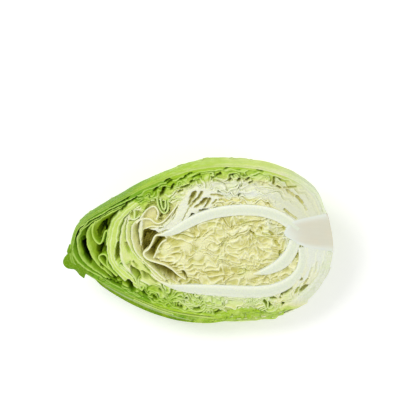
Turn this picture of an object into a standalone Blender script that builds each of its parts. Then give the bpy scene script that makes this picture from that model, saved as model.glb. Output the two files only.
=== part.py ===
"""Half of a pointed cabbage, cut lengthwise through its stem and lying on its rounded back.

Everything is laid out in the plane of the cut: u runs along the head with the stem end at +u,
v runs across it, and w points out of the cut face. The half is then leaned back and set down.
Leaves are nested bowls that share one centre. A layer's place between the outer leaves and the
ribbed leaves is a share from 0 to 1, and from there to the line of the heart it is 1 to 2.
A place along a leaf's cut edge is a share from 0, at the stem's upper side, round the tip to 1.
"""

import math

import bmesh
import bpy
import numpy as np
from mathutils import Matrix

MM = 0.001

# The half head, in millimetres
HEAD_DEPTH = 66.0
HEAD_REACH = 63.0
LEAN = math.radians(26)
FLATTENED = 3.8
CENTRE = np.array((10.0, -5.0))

# The edge of the cut face and the loop of the ribbed leaves, at matching stations round the head
FACE_EDGE = (
    (92, 24), (81, 40), (61, 54), (31, 63), (-4, 63), (-38, 51),
    (-66, 34), (-91, 19), (-104, 1), (-108, -19), (-88, -31), (-60, -47),
    (-27, -62), (10, -68), (45, -67), (74, -56), (93, -31), (98, -7),
)
RIB_LOOP = (
    (67, 18), (60, 24), (49, 29.5), (33, 31), (14, 27), (-5, 18),
    (-22, 7), (-36, 1), (-44, -7), (-40, -17), (-28, -27), (-13, -37),
    (6, -43), (27, -44.5), (48, -42.5), (65, -35), (75, -20), (77, -3),
)
HEART_RIGHT = np.array((58.0, 7.0))
HEART_LEFT = np.array((-28.0, -11.0))

# Leaf layers
WRAPPER_THICKNESS = 1.8
PATCH_THICKNESS = 1.5
INNER_WRAPPER_INSET = 2.3
WRAPPERS_INSET = 4.9
INNER_DEPTH = 58.5
RIB_DEPTH = 43.0
HEART_DEPTH = 8.0
BLADE_THICKNESS = 1.3
BLADE_HEIGHT = 12.0
FUSED_HEIGHT = 0.8
LEAF_GAP = 0.4

# Heights of the two wrappers' outer and inner face where they are pressed flat, and of what lies on them
FLOORS = ((0.0, 1.5), (1.9, 3.3))
INSIDE_FLOOR = 3.7

# Stem: its upper and lower edge in the cut face, and its depth, from the cut end to the tip
STEM_SECTIONS = (
    ((93.1, 23.2), (98.9, -6.4), 15.8),
    ((90.1, 22.7), (95.9, -6.0), 15.4),
    ((67.6, 16.9), (75.6, -2.2), 10.5),
    ((60.5, 8.6), (61.5, 5.9), 2.5),
)
STEM_NOTCH = 17.0
STEM_SIDES = 8

COLUMNS = 69
HEART_COLUMNS = 37
BOWL_ROWS = np.radians((18, 38, 64, 90))
SHELL_ROWS = np.radians((0, 15, 30, 45, 60, 72, 83, 90))
RIB_ROWS = np.radians((0, 18, 38, 64, 82))

GREEN = (0.21, 0.42, 0.04)
MID_GREEN = (0.42, 0.62, 0.12)
PALE = (0.66, 0.74, 0.30)
CREAM = (0.86, 0.84, 0.52)
WHITE = (0.86, 0.88, 0.76)
STEM_COLOUR = (0.80, 0.77, 0.62)


def smooth(x):
    """0 below 0, 1 above 1, and an S curve between."""
    x = np.clip(x, 0.0, 1.0)
    return x * x * (3 - 2 * x)


def spline(points, share):
    """The curve through the points, at shares of the way along it."""
    points = np.array(points, float)
    last = len(points) - 1
    place = np.clip(np.asarray(share, float), 0, 1) * last
    i = np.minimum(place.astype(int), last - 1)
    f = (place - i)[..., None]
    ends = np.vstack((2 * points[0] - points[1], points, 2 * points[-1] - points[-2]))
    a, b, c, d = (ends[i + k] for k in range(4))
    return 0.5 * (2 * b + (c - a) * f + (2 * a - 5 * b + 4 * c - d) * f**2 + (3 * b - a - 3 * c + d) * f**3)


def inset(plan, distance):
    """The plan curve moved towards the centre by a distance."""
    away = plan - CENTRE
    length = np.linalg.norm(away, axis=-1, keepdims=True)
    return CENTRE + away * (1 - distance / length)


def heart_line(share):
    """The line that the heart's leaves close on, out from the stem's tip and back."""
    along = (0.5 - 0.5 * np.cos(2 * np.pi * share))[..., None]
    return HEART_RIGHT + (HEART_LEFT - HEART_RIGHT) * along


def layer_plan(layer, share):
    """The cut edge of a layer: 0 is just inside the wrappers, 1 the ribbed leaves, 2 the heart's line."""
    layer = np.broadcast_to(layer, np.shape(share))[..., None]
    outer = inset(spline(FACE_EDGE, share), WRAPPERS_INSET)
    rib = spline(RIB_LOOP, share)
    inner = heart_line(share)
    return np.where(layer < 1, outer + (rib - outer) * layer, rib + (inner - rib) * (layer - 1))


def layer_depth(layer):
    """How deep the bowl of a layer reaches."""
    return np.interp(layer, (0, 1, 2), (INNER_DEPTH, RIB_DEPTH, HEART_DEPTH))


def bowl_points(plan, depth, angle):
    """Points of a bowl below its cut edge, at an angle from 0 at the edge to 90 degrees at the bottom."""
    angle = np.broadcast_to(angle, plan.shape[:-1])
    flat = CENTRE + (plan - CENTRE) * np.cos(angle)[..., None]
    return np.dstack((flat[None, ..., 0], flat[None, ..., 1], (-depth * np.sin(angle))[None]))[0]


def at_height(layer, share, height):
    """Points of a layer's bowl at a height w, where 0 is the cut face."""
    depth = layer_depth(layer)
    angle = np.arcsin(np.clip(-np.asarray(height) / depth, 0, 1))
    return bowl_points(layer_plan(layer, share), depth, angle)


def set_down(points, floor=0.0):
    """From the plane of the cut to the leaned pose, in millimetres, flattened where it meets a floor."""
    u, v, w = points[..., 0], points[..., 1], points[..., 2]
    y = v * math.cos(LEAN) - w * math.sin(LEAN)
    z = v * math.sin(LEAN) + w * math.cos(LEAN)
    round_bottom = math.hypot(HEAD_REACH * math.sin(LEAN), HEAD_DEPTH * math.cos(LEAN))
    lowest = CENTRE[1] * math.sin(LEAN) - round_bottom
    return np.stack((u, y, np.maximum(z - lowest - FLATTENED, floor)), axis=-1)


def material(name, colour, roughness=0.5):
    made = bpy.data.materials.new(name)
    made.use_nodes = True
    shader = made.node_tree.nodes["Principled BSDF"]
    shader.inputs["Base Color"].default_value = (*colour, 1)
    shader.inputs["Roughness"].default_value = roughness
    return made


def loft(name, rings, colour, closed=False, poles=()):
    """A solid through rings of points, one ring a column. A ring's edge in poles lies on the bowls' axis."""
    columns, points = rings.shape[:2]
    mesh = bmesh.new()
    verts = [mesh.verts.new(p * MM) for p in rings.reshape(-1, 3)]
    for i in range(columns if closed else columns - 1):
        here, there = i * points, (i + 1) % columns * points
        for k in range(points):
            if k in poles:
                continue
            n = (k + 1) % points
            mesh.faces.new((verts[here + k], verts[here + n], verts[there + n], verts[there + k]))
    if not closed:
        mesh.faces.new(verts[:points][::-1])
        mesh.faces.new(verts[-points:])
    bmesh.ops.remove_doubles(mesh, verts=mesh.verts, dist=1e-6)
    bmesh.ops.recalc_face_normals(mesh, faces=mesh.faces)
    data = bpy.data.meshes.new(name)
    mesh.to_mesh(data)
    mesh.free()
    made = bpy.data.objects.new(name, data)
    made.data.materials.append(colour)
    bpy.data.collections["pointed_cabbage_half"].objects.link(made)
    return made


def channels(blades, low, high, share):
    """The middle and half width of each blade's channel between two layers. A blade is its weight and
    the shares where it begins and ends, and past them its channel narrows."""
    weight = np.array([
        w * (0.25 + 0.75 * smooth((share - first) / 0.05) * smooth((last - share) / 0.05))
        for w, first, last in blades
    ])
    reach = np.cumsum(weight, axis=0)
    total = reach[-1]
    middle = low + (reach - weight / 2) / total * (high - low)
    return middle, weight / total * (high - low) / 2


def folded_leaves(name, low, high, blades, columns, colour, seed):
    """Leaves of one colour between two layers: blades folded to and fro that stand out of a smaller bowl."""
    rng = np.random.default_rng(seed)
    share = np.linspace(0.0, 1.0, columns)
    middle, half = channels(blades, low, high, share)
    span = np.linalg.norm(layer_plan(high, share) - layer_plan(low, share), axis=-1) / (high - low)
    wall = BLADE_THICKNESS / 2 / span
    near_stem = smooth(share / 0.1) * smooth((1 - share) / 0.1)
    valley = FUSED_HEIGHT + (BLADE_HEIGHT - FUSED_HEIGHT) * near_stem
    turn = np.where(np.arange(columns) % 2, 1.0, -1.0)
    ring = [at_height(np.full(columns, low), share, -layer_depth(low) * math.sin(a)) for a in BOWL_ROWS[::-1]]
    ring.append(at_height(np.full(columns, low), share, -valley))
    for k, (_, first, last) in enumerate(blades):
        swing = turn * rng.uniform(0.5, 1.0, columns) * np.clip(half[k] * 0.9 - wall, 0, None) * near_stem
        there = smooth((share - first) / 0.04) * smooth((last - share) / 0.04)
        thick = np.minimum(wall, half[k] * 0.6)
        top = -valley * 0.9 * (1 - there)
        for side, height in ((-1, -valley), (-1, top), (1, top), (1, -valley)):
            ring.append(at_height(middle[k] + swing + side * thick, share, height))
    ring.append(at_height(np.full(columns, high), share, -valley))
    ring += [at_height(np.full(columns, high), share, -layer_depth(high) * math.sin(a)) for a in BOWL_ROWS]
    rings = np.stack([set_down(r, INSIDE_FLOOR) for r in ring], axis=1)
    return loft(name, rings, colour, poles=(len(ring) - 1,))


def ribbed_leaf(name, first, last, colour, columns):
    """A leaf cut along its thick rib, which thins to a blade away from the stem and with depth."""
    share = np.linspace(first, last, columns)
    away = np.minimum(share, 1 - share) / 0.5
    rib = 1 - smooth((away - 0.45) / 0.4)
    ring = []
    for side, angles in ((-1, RIB_ROWS[::-1]), (1, RIB_ROWS)):
        for a in angles:
            thick = (0.022 + 0.045 * rib) * (0.4 + 0.6 * math.cos(a) ** 2)
            layer = 0.99 + side * thick
            ring.append(bowl_points(layer_plan(layer, share), layer_depth(layer), np.full(columns, a)))
    return loft(name, np.stack([set_down(r) for r in ring], axis=1), colour)


def wrapper_columns():
    """Plan points round the wrappers, the stem's gap among them, with the share of each and the depth of the gap."""
    share = np.linspace(0, 1, COLUMNS)
    plan = spline(FACE_EDGE, share)
    upper, lower = plan[0], plan[-1]
    across = np.cos(np.linspace(0, np.pi, STEM_SIDES + 1))[1:-1]
    middle, arm = (upper + lower) / 2, (upper - lower) / 2
    gap_plan = middle - across[:, None] * arm
    gap = STEM_NOTCH * np.sqrt(1 - across**2)
    return (
        np.vstack((plan, gap_plan)),
        np.concatenate((share, np.ones(len(across)))),
        np.concatenate((np.zeros(COLUMNS), gap)),
    )


def wrapper_bowl(name, layer, margin, colour):
    """A wrapper leaf that goes all round under the head. margin gives its edge's angle below the cut face."""
    plan, share, gap = wrapper_columns()
    near = (INNER_WRAPPER_INSET if layer else 0.0)
    start = np.maximum(margin(share), np.arcsin(gap / HEAD_DEPTH))
    ring = []
    for deeper in (0, 1):
        distance = near + WRAPPER_THICKNESS * deeper
        side = [
            set_down(
                bowl_points(inset(plan, distance), HEAD_DEPTH - distance, np.maximum(start, row)),
                FLOORS[layer][deeper],
            )
            for row in SHELL_ROWS
        ]
        ring += side[::-1] if deeper else side
    rings = np.stack(ring, axis=1)
    return loft(name, rings, colour, closed=True, poles=(len(SHELL_ROWS) - 1,))


def wrapper_patch(name, first, last, reach, colour, columns=17):
    """A smaller wrapper leaf by the stem, which hangs from the cut face part of the way down the back."""
    share = np.linspace(first, last, columns)
    plan = spline(FACE_EDGE, share)
    across = (share - first) / (last - first)
    hang = math.radians(reach) * (0.35 + 0.65 * np.sin(np.pi * across) ** 0.5) * (1 + 0.06 * np.cos(9 * across))
    ring = []
    for deeper in (0, 1):
        side = [
            set_down(bowl_points(inset(plan, PATCH_THICKNESS * deeper), HEAD_DEPTH - PATCH_THICKNESS * deeper, hang * f))
            for f in (0, 0.5, 1)
        ]
        ring += side[::-1] if deeper else side
    return loft(name, np.stack(ring, axis=1), colour)


def stem(colour):
    """The stem: half of a tapering stalk, from its cut end to the heart."""
    rings = []
    for upper, lower, depth in STEM_SECTIONS:
        upper, lower = np.array(upper), np.array(lower)
        turn = np.linspace(0, np.pi, STEM_SIDES + 1)
        plan = (upper + lower) / 2 + np.cos(turn)[:, None] * (upper - lower) / 2
        rings.append(set_down(np.column_stack((plan, -depth * np.sin(turn)))))
    return loft("stem_core", np.stack(rings), colour)


def outer_margin(share):
    """The big wrapper's edge: in the cut face above, and down on the near side below."""
    low = math.radians(27) * smooth((share - 0.53) / 0.07) * smooth((1.0 - share) / 0.03)
    return low * (1 + 0.1 * np.sin(40 * share))


def centre_over_origin(pieces):
    """Moves all pieces so that the middle of their common box is over the origin."""
    boxes = np.array([corner for piece in pieces for corner in piece.bound_box])
    middle = (boxes.min(axis=0) + boxes.max(axis=0)) / 2
    for piece in pieces:
        piece.data.transform(Matrix.Translation((-middle[0], -middle[1], 0)))


def build():
    for old in list(bpy.data.objects):
        bpy.data.objects.remove(old)
    group = bpy.data.collections.new("pointed_cabbage_half")
    bpy.context.scene.collection.children.link(group)
    green = material("leaf_green", GREEN, 0.42)
    mid = material("leaf_mid_green", MID_GREEN, 0.45)
    pale = material("leaf_pale", PALE, 0.5)
    cream = material("leaf_cream", CREAM, 0.5)
    white = material("rib_white", WHITE, 0.4)
    stalk = material("stem_flesh", STEM_COLOUR, 0.5)

    stem(stalk)
    wrapper_bowl("wrapper_leaf_outer", 0, outer_margin, green)
    wrapper_bowl("wrapper_leaf_inner", 1, lambda share: 0 * share, green)
    wrapper_patch("wrapper_leaf_base", 0.70, 0.975, 22, mid)
    folded_leaves("outer_leaves", 0.0, 0.27, ((1, 0, 1), (1, 0, 0.86), (1, 0, 1)), COLUMNS, mid, 3)
    folded_leaves("middle_leaves", 0.30, 0.60, ((1, 0, 1), (1, 0, 0.72), (1, 0, 1)), COLUMNS, pale, 5)
    folded_leaves("inner_leaves", 0.63, 0.885, ((1, 0, 0.9), (1, 0, 0.66)), COLUMNS, cream, 8)
    ribbed_leaf("ribbed_leaf_upper", 0.0, 0.492, white, 35)
    ribbed_leaf("ribbed_leaf_lower", 0.508, 1.0, white, 35)
    heart = tuple((w, 0, 1) for w in (1.2, 1.1, 1.0, 1.0, 0.9))
    folded_leaves("heart_leaves", 1.09, 1.93, heart, HEART_COLUMNS, cream, 13)
    centre_over_origin(group.objects)


build()
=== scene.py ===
"""Dresses half of a pointed cabbage: its wrapper leaves, folded leaves, ribs, heart and stem.

Most shapes are laid out in the plane of the cut, in millimetres: u runs along the head with the
stem end at +u, v runs across it, and w points out of the cut face. set_down() leans that plane
back and lays the half on its rounded back. A layer from 0 to 1 goes from the wrapper leaves in to
the ribbed leaves, and from 1 to 2 on to the line of the heart. A share from 0 to 1 goes round the
cut edge, from the stem's upper side past the tip to the stem's lower side. What shows on the cut
face is outlined as the camera sees it, and seen() brings those outlines into the plane of the cut.
"""

import math

import bmesh
import bpy
import numpy as np
from bpy.props import FloatProperty, FloatVectorProperty, IntProperty, PointerProperty
from mathutils import Matrix, Vector, kdtree, noise


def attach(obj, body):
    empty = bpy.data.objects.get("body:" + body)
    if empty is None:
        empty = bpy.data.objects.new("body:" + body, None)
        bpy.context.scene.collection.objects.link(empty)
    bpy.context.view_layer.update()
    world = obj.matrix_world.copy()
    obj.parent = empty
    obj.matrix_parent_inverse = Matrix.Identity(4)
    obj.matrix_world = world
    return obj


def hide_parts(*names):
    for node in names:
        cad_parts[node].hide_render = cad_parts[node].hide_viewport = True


bl_info = {
    "name": "Half pointed cabbage",
    "version": (1, 0, 0),
    "blender": (4, 5, 0),
    "location": "3D View > Sidebar > Cabbage",
    "description": "Builds the leaves, ribs, heart and stem of half a pointed cabbage",
    "category": "Add Mesh",
}

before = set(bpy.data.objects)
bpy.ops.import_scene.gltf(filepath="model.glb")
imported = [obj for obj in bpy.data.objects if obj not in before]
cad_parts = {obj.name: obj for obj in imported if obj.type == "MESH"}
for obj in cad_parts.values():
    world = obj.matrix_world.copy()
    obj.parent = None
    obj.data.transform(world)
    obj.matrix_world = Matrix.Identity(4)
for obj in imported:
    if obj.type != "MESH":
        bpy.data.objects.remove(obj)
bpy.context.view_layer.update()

MM = 0.001
BODY = "root"

# The half head, as the solids have it
HEAD_DEPTH = 66.0
HEAD_REACH = 63.0
LEAN = math.radians(26)
FLATTENED = 3.8
CENTRE = np.array((10.0, -5.0))
BOX_MIDDLE = (-5.0, 1.146)
FACE_EDGE = (
    (93, 25), (84, 43), (64, 57), (33, 65), (-4, 64), (-39, 51.5),
    (-69, 34.5), (-94, 18), (-102.5, 3), (-103.5, -17), (-88, -31), (-60, -47),
    (-27, -62), (10, -68), (45, -67), (74, -56), (93, -31), (98, -7),
)
RIB_LOOP = (
    (67, 15.5), (60, 20.5), (49, 25.5), (33, 27.5), (14, 26), (-5, 20.5),
    (-20, 12), (-34, 4.5), (-44, -7), (-40, -17), (-28, -27), (-14, -38.5),
    (6, -42), (27, -43.5), (48, -42.5), (65, -35), (74.5, -20), (75.5, -3),
)
HEART_RIGHT = np.array((58.0, 7.0))
HEART_LEFT = np.array((-28.0, -11.0))
WRAPPERS_INSET = 4.9
INNER_DEPTH = 58.5
RIB_DEPTH = 43.0
HEART_DEPTH = 8.0
INSIDE_FLOOR = 3.7
STEM_NOTCH = 17.0
STEM_SECTIONS = (
    ((93.1, 23.2), (98.9, -6.4), 15.8),
    ((90.1, 22.7), (95.9, -6.0), 15.4),
    ((67.6, 16.9), (75.6, -2.2), 10.5),
    ((60.5, 8.6), (61.5, 5.9), 2.5),
)


# Settings

class CabbageSettings(bpy.types.PropertyGroup):
    """Sizes and colours of the half head."""

    blade: FloatProperty(
        name="Blade", description="Thickness of a leaf's blade", default=1.05 * MM, unit="LENGTH"
    )
    detail: FloatProperty(
        name="Detail", description="Spacing of the points along a cut leaf", default=0.9 * MM, unit="LENGTH"
    )
    vein: FloatProperty(
        name="Vein", description="Radius of a side vein at its root", default=1.0 * MM, unit="LENGTH"
    )
    seed: IntProperty(name="Seed", description="Picks the folds", default=4)
    deep: FloatVectorProperty(
        name="Deep green", description="Outside of the head", subtype="COLOR", default=(0.20, 0.42, 0.010)
    )
    fresh: FloatVectorProperty(
        name="Fresh green", description="Outer leaves", subtype="COLOR", default=(0.38, 0.60, 0.022)
    )
    pale: FloatVectorProperty(
        name="Pale green", description="Leaves further in", subtype="COLOR", default=(0.63, 0.78, 0.17)
    )
    cream: FloatVectorProperty(
        name="Cream", description="Innermost leaves", subtype="COLOR", default=(0.86, 0.84, 0.45)
    )
    white: FloatVectorProperty(
        name="Rib white", description="Cut ribs", subtype="COLOR", default=(0.83, 0.88, 0.785)
    )
    stem: FloatVectorProperty(
        name="Stem", description="Cut flesh of the stem", subtype="COLOR", default=(0.715, 0.705, 0.565)
    )


# Layout of the half head

def smooth(x):
    """0 below 0, 1 above 1, and an S curve between."""
    x = np.clip(x, 0.0, 1.0)
    return x * x * (3 - 2 * x)


def spline(points, share):
    """The curve through the points, at shares of the way along it."""
    points = np.array(points, float)
    last = len(points) - 1
    place = np.clip(np.asarray(share, float), 0, 1) * last
    i = np.minimum(place.astype(int), last - 1)
    f = (place - i)[..., None]
    ends = np.vstack((2 * points[0] - points[1], points, 2 * points[-1] - points[-2]))
    a, b, c, d = (ends[i + k] for k in range(4))
    return 0.5 * (2 * b + (c - a) * f + (2 * a - 5 * b + 4 * c - d) * f**2 + (3 * b - a - 3 * c + d) * f**3)


def seen(points):
    """Plan points from places in the camera's picture, 400 wide and 400 high."""
    x, y = np.asarray(points, float).T[:2]
    return np.stack(((x - 205) / 1.3, (242 - y) / 1.17), axis=-1)


def from_stem(share):
    """How far a share is from the stem, on the nearer side."""
    return np.minimum(share, 1 - share)


def layer_plan(layer, share):
    """Where the layers cross the plane of the cut, at shares round it."""
    edge = spline(FACE_EDGE, share)
    length = np.linalg.norm(edge - CENTRE, axis=-1, keepdims=True)
    outer = CENTRE + (edge - CENTRE) * (1 - WRAPPERS_INSET / length)
    rib = spline(RIB_LOOP, share)
    along = (0.5 - 0.5 * np.cos(2 * np.pi * share))[..., None]
    heart = HEART_RIGHT + (HEART_LEFT - HEART_RIGHT) * along
    layer = layer[..., None]
    return np.where(layer < 1, outer + (rib - outer) * layer, rib + (heart - rib) * (layer - 1))


def layer_depth(layer):
    """How deep the bowl of a layer reaches."""
    return np.interp(layer, (0, 1, 2), (INNER_DEPTH, RIB_DEPTH, HEART_DEPTH))


def at_height(plan, height):
    """Plan points with a height w."""
    return np.concatenate((plan, np.broadcast_to(height, plan.shape[:-1])[..., None]), axis=-1)


def sink(plan, layer, height):
    """Plan points of a layer taken down to a height w, along the bowl that the layer lies on."""
    closing = np.sqrt(1 - np.clip(-height / layer_depth(layer), 0, 1) ** 2)[..., None]
    return at_height(CENTRE + (plan - CENTRE) * closing, height)


def set_down(points, floor=0.0):
    """From the plane of the cut to the place of the half in the frame, still in millimetres."""
    u, v, w = points[..., 0], points[..., 1], points[..., 2]
    y = v * math.cos(LEAN) - w * math.sin(LEAN)
    z = v * math.sin(LEAN) + w * math.cos(LEAN)
    reach = math.hypot(HEAD_REACH * math.sin(LEAN), HEAD_DEPTH * math.cos(LEAN))
    lowest = CENTRE[1] * math.sin(LEAN) - reach
    raised = np.maximum(z - lowest - FLATTENED, floor)
    return np.stack((u - BOX_MIDDLE[0], y - BOX_MIDDLE[1], raised), axis=-1)


def ripple(points, seed):
    """Smooth noise from about -1 to 1, with one cell a unit, at points of two coordinates."""
    slopes = np.random.default_rng(seed).normal(size=(64, 64, 2))
    slopes /= np.linalg.norm(slopes, axis=-1, keepdims=True)
    cell = np.floor(points).astype(int)
    local = points - cell
    fade = local**3 * (local * (local * 6 - 15) + 10)
    corners = [
        ((local - (i, j)) * slopes[(cell[..., 0] + i) % 64, (cell[..., 1] + j) % 64]).sum(axis=-1)
        for i in (0, 1) for j in (0, 1)
    ]
    left = corners[0] + (corners[1] - corners[0]) * fade[..., 1]
    right = corners[2] + (corners[3] - corners[2]) * fade[..., 1]
    return 1.5 * (left + (right - left) * fade[..., 0])


def ripples(points, apart, seed):
    """A ripple along u and another along v, as a shift in the plane."""
    return np.stack([ripple(points + apart * axis, seed + axis) for axis in (0, 1)], axis=-1)


def crumple(plan, wavelength, amount, seed, steps=3):
    """Folds the plane itself in a few small steps, so that curves in it fold but never cross."""
    for step in range(steps):
        plan = plan + np.asarray(amount)[..., None] * ripples(plan / wavelength, 7.3, seed + 2 * step)
    return plan


def bumps(points, size, shift=0.0):
    """Smooth noise in space, from about -1 to 1."""
    away = Vector((shift, shift, shift))
    values = [noise.noise(Vector(spot) / size + away) for spot in points.reshape(-1, 3)]
    return np.array(values).reshape(points.shape[:-1])


def evenly(points, step):
    """The points of a fine curve taken again at even steps along it."""
    length = np.concatenate(([0], np.cumsum(np.linalg.norm(np.diff(points[:, :2], axis=0), axis=1))))
    place = np.linspace(0, length[-1], max(4, int(length[-1] / step) + 1))
    return np.stack([np.interp(place, length, column) for column in points.T], axis=-1)


# Meshes: a body is its points, ring by ring, its faces, and its looks by name, one value a point

def quads(rings, around, closed=False):
    """The quads between neighbouring rings, and between the last and the first where closed."""
    i = np.arange(rings if closed else rings - 1)[:, None]
    k = np.arange(around)[None]
    here, there, up = i * around, (i + 1) % rings * around, (k + 1) % around
    return np.stack((here + k, here + up, there + up, there + k), axis=-1).reshape(-1, 4)


def tube(rings, around):
    """A run of rings closed at both ends, each ring going up one side and down the other."""
    k = np.arange(around // 2 - 1)
    cap = np.stack((k, k + 1, around - 2 - k, around - 1 - k), axis=-1)
    return np.vstack((quads(rings, around), cap[:, ::-1], cap + (rings - 1) * around))


def both_sides(upper, lower):
    """Rings that go along the upper side of a thin leaf and back along its lower side."""
    return np.concatenate((upper, lower[:, ::-1]), axis=1)


def joined(*bodies):
    """Several bodies' points, faces and looks as one."""
    first, faces = 0, []
    for points, own, _ in bodies:
        faces.append(own + first)
        first += points.size // 3
    looks = {key: np.concatenate([body[2][key].ravel() for body in bodies]) for key in bodies[0][2]}
    return np.vstack([body[0].reshape(-1, 3) for body in bodies]), np.vstack(faces), looks


def piece(name, body, material, sharp=60, fill=False):
    """A mesh object from a body in millimetres, with its looks as attributes of its points."""
    points, faces, looks = body
    data = bpy.data.meshes.new(name)
    data.from_pydata((points.reshape(-1, 3) * MM).tolist(), [], faces.tolist())
    for key, values in looks.items():
        layer = data.attributes.new(key, "FLOAT", "POINT")
        layer.data.foreach_set("value", np.asarray(values, np.float32).ravel())
    mesh = bmesh.new()
    mesh.from_mesh(data)
    bmesh.ops.remove_doubles(mesh, verts=mesh.verts, dist=2e-6)
    if fill:
        bmesh.ops.holes_fill(mesh, edges=mesh.edges, sides=0)
    bmesh.ops.recalc_face_normals(mesh, faces=mesh.faces)
    mesh.to_mesh(data)
    mesh.free()
    data.shade_smooth()
    data.set_sharp_from_angle(angle=math.radians(sharp))
    data.materials.append(material)
    made = bpy.data.objects.new(name, data)
    bpy.context.scene.collection.objects.link(made)
    return made


def place(made, slot, *nodes):
    """The finished piece rides on the half and stands for its solids."""
    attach(made, BODY)
    if nodes:
        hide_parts(*nodes)


# Shaders

def plug(tree, target, inputs):
    """Links a node's inputs to sockets, or sets their values."""
    for key, value in inputs.items():
        if isinstance(value, bpy.types.NodeSocket):
            tree.links.new(value, target.inputs[key])
        else:
            target.inputs[key].default_value = value


def node(tree, kind, inputs=None, **settings):
    """A shader or geometry node with its settings, and its inputs set or linked."""
    made = tree.nodes.new(kind)
    for key, value in settings.items():
        setattr(made, key, value)
    plug(tree, made, inputs or {})
    return made


def mixed(tree, factor, a, b):
    """The colour between a and b."""
    return node(tree, "ShaderNodeMix", {0: factor, 6: a, 7: b}, data_type="RGBA").outputs[2]


def counted(tree, operation, a, b=0.0, c=0.0, clamp=False):
    """One step of arithmetic."""
    inputs = {0: a, 1: b, 2: c}
    return node(tree, "ShaderNodeMath", inputs, operation=operation, use_clamp=clamp).outputs[0]


def stepped(tree, value, low, high):
    """0 below low, 1 above high, smooth between."""
    inputs = {0: value, 1: low, 2: high}
    return node(tree, "ShaderNodeMapRange", inputs, interpolation_type="SMOOTHSTEP").outputs[0]


def tinted(tree, colour, tint):
    """A colour, or a place, times another."""
    return node(tree, "ShaderNodeVectorMath", {0: colour, 1: tint}, operation="MULTIPLY").outputs[0]


def clouds(tree, vector, scale, detail=3.0):
    """A noise texture: its value and its colour."""
    return node(tree, "ShaderNodeTexNoise", {"Vector": vector, "Scale": scale, "Detail": detail}).outputs


def fibres(tree, vector, scale, squeeze):
    """Noise drawn out along the head."""
    along = node(tree, "ShaderNodeMapping", {"Vector": vector, "Scale": (squeeze, 1.0, 1.0)}).outputs[0]
    return clouds(tree, along, scale)[0]


def raised(tree, height, strength, distance):
    """The normal over bumps."""
    inputs = {"Strength": strength, "Distance": distance, "Height": height}
    return node(tree, "ShaderNodeBump", inputs).outputs[0]


def attribute(tree, name):
    """A value stored on the points of the piece."""
    return node(tree, "ShaderNodeAttribute", attribute_name=name).outputs["Fac"]


def group(name, inputs, outputs):
    """A shader node group with its sockets, and its input and output nodes."""
    tree = bpy.data.node_groups.new(name, "ShaderNodeTree")
    for label, kind, value in inputs:
        socket = tree.interface.new_socket(label, in_out="INPUT", socket_type="NodeSocket" + kind)
        if value is not None:
            socket.default_value = value
    for label, kind in outputs:
        tree.interface.new_socket(label, in_out="OUTPUT", socket_type="NodeSocket" + kind)
    return tree, tree.nodes.new("NodeGroupInput").outputs, tree.nodes.new("NodeGroupOutput")


CUT_EDGE_PALE = (0.93, 0.96, 0.70, 1)
CUT_EDGE_GREEN = (0.62, 0.83, 0.20, 1)
# Tints of painted shade for leaf that lies deep: olive first, near black in the deepest gaps
SHADED_SIDE = (0.61, 0.58, 0.15)
GLOOM_CREAM = (0.76, 0.73, 0.24, 1)
GLOOM_GREEN = (0.18, 0.24, 0.12, 1)
WATERY_CORE = (0.88, 0.90, 0.90)


def leaf_tissue_group():
    """Colour of a leaf by how green, ribbed and freshly cut it is, with mottling and fine bumps, and
    darkened with painted shade, olive and then near black, by its depth look.
    """
    found = bpy.data.node_groups.get("Leaf tissue")
    if found:
        return found
    values = [(label, "Float", 0.0) for label in ("Green", "Rib", "Cut", "Painted shade", "Core")]
    colours = [(label, "Color", (0.5, 0.5, 0.5, 1)) for label in ("Cream", "Pale", "Fresh", "Deep", "White")]
    tree, given, outer = group(
        "Leaf tissue",
        [("Vector", "Vector", None), *values, *colours],
        [("Color", "Color"), ("Roughness", "Float"), ("Height", "Float")],
    )
    blotch = clouds(tree, given["Vector"], 110.0, 4.0)[0]
    grain = clouds(tree, given["Vector"], 900.0)[0]
    green = counted(tree, "ADD", given["Green"], counted(tree, "MULTIPLY_ADD", blotch, 0.5, -0.25))
    shade = given["Cream"]
    for low, high, greener in ((0.02, 0.36, "Pale"), (0.33, 0.72, "Fresh"), (0.70, 1.05, "Deep")):
        shade = mixed(tree, stepped(tree, green, low, high), shade, given[greener])
    shade = mixed(tree, given["Rib"], shade, given["White"])
    edge = mixed(tree, stepped(tree, green, 0.15, 0.7), CUT_EDGE_PALE, CUT_EDGE_GREEN)
    shade = mixed(tree, given["Cut"], shade, mixed(tree, 0.62, shade, edge))
    # Painted shade: olive the deeper the point lies, then near black in deep gaps
    sunk = counted(tree, "MULTIPLY", stepped(tree, given["Painted shade"], 0.6, 9.0), 0.85)
    shade = mixed(tree, sunk, shade, tinted(tree, shade, SHADED_SIDE))
    gloom = mixed(tree, stepped(tree, green, 0.3, 0.7), GLOOM_CREAM, GLOOM_GREEN)
    shade = mixed(tree, stepped(tree, given["Painted shade"], 7.0, 20.0), shade, tinted(tree, shade, gloom))
    shade = mixed(tree, given["Core"], shade, tinted(tree, shade, WATERY_CORE))
    plug(tree, outer, {
        "Color": tinted(tree, shade, counted(tree, "MULTIPLY_ADD", grain, 0.24, 0.88)),
        "Roughness": counted(tree, "MULTIPLY_ADD", grain, 0.3, 0.35),
        "Height": counted(tree, "ADD", grain, blotch),
    })
    return tree


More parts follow.
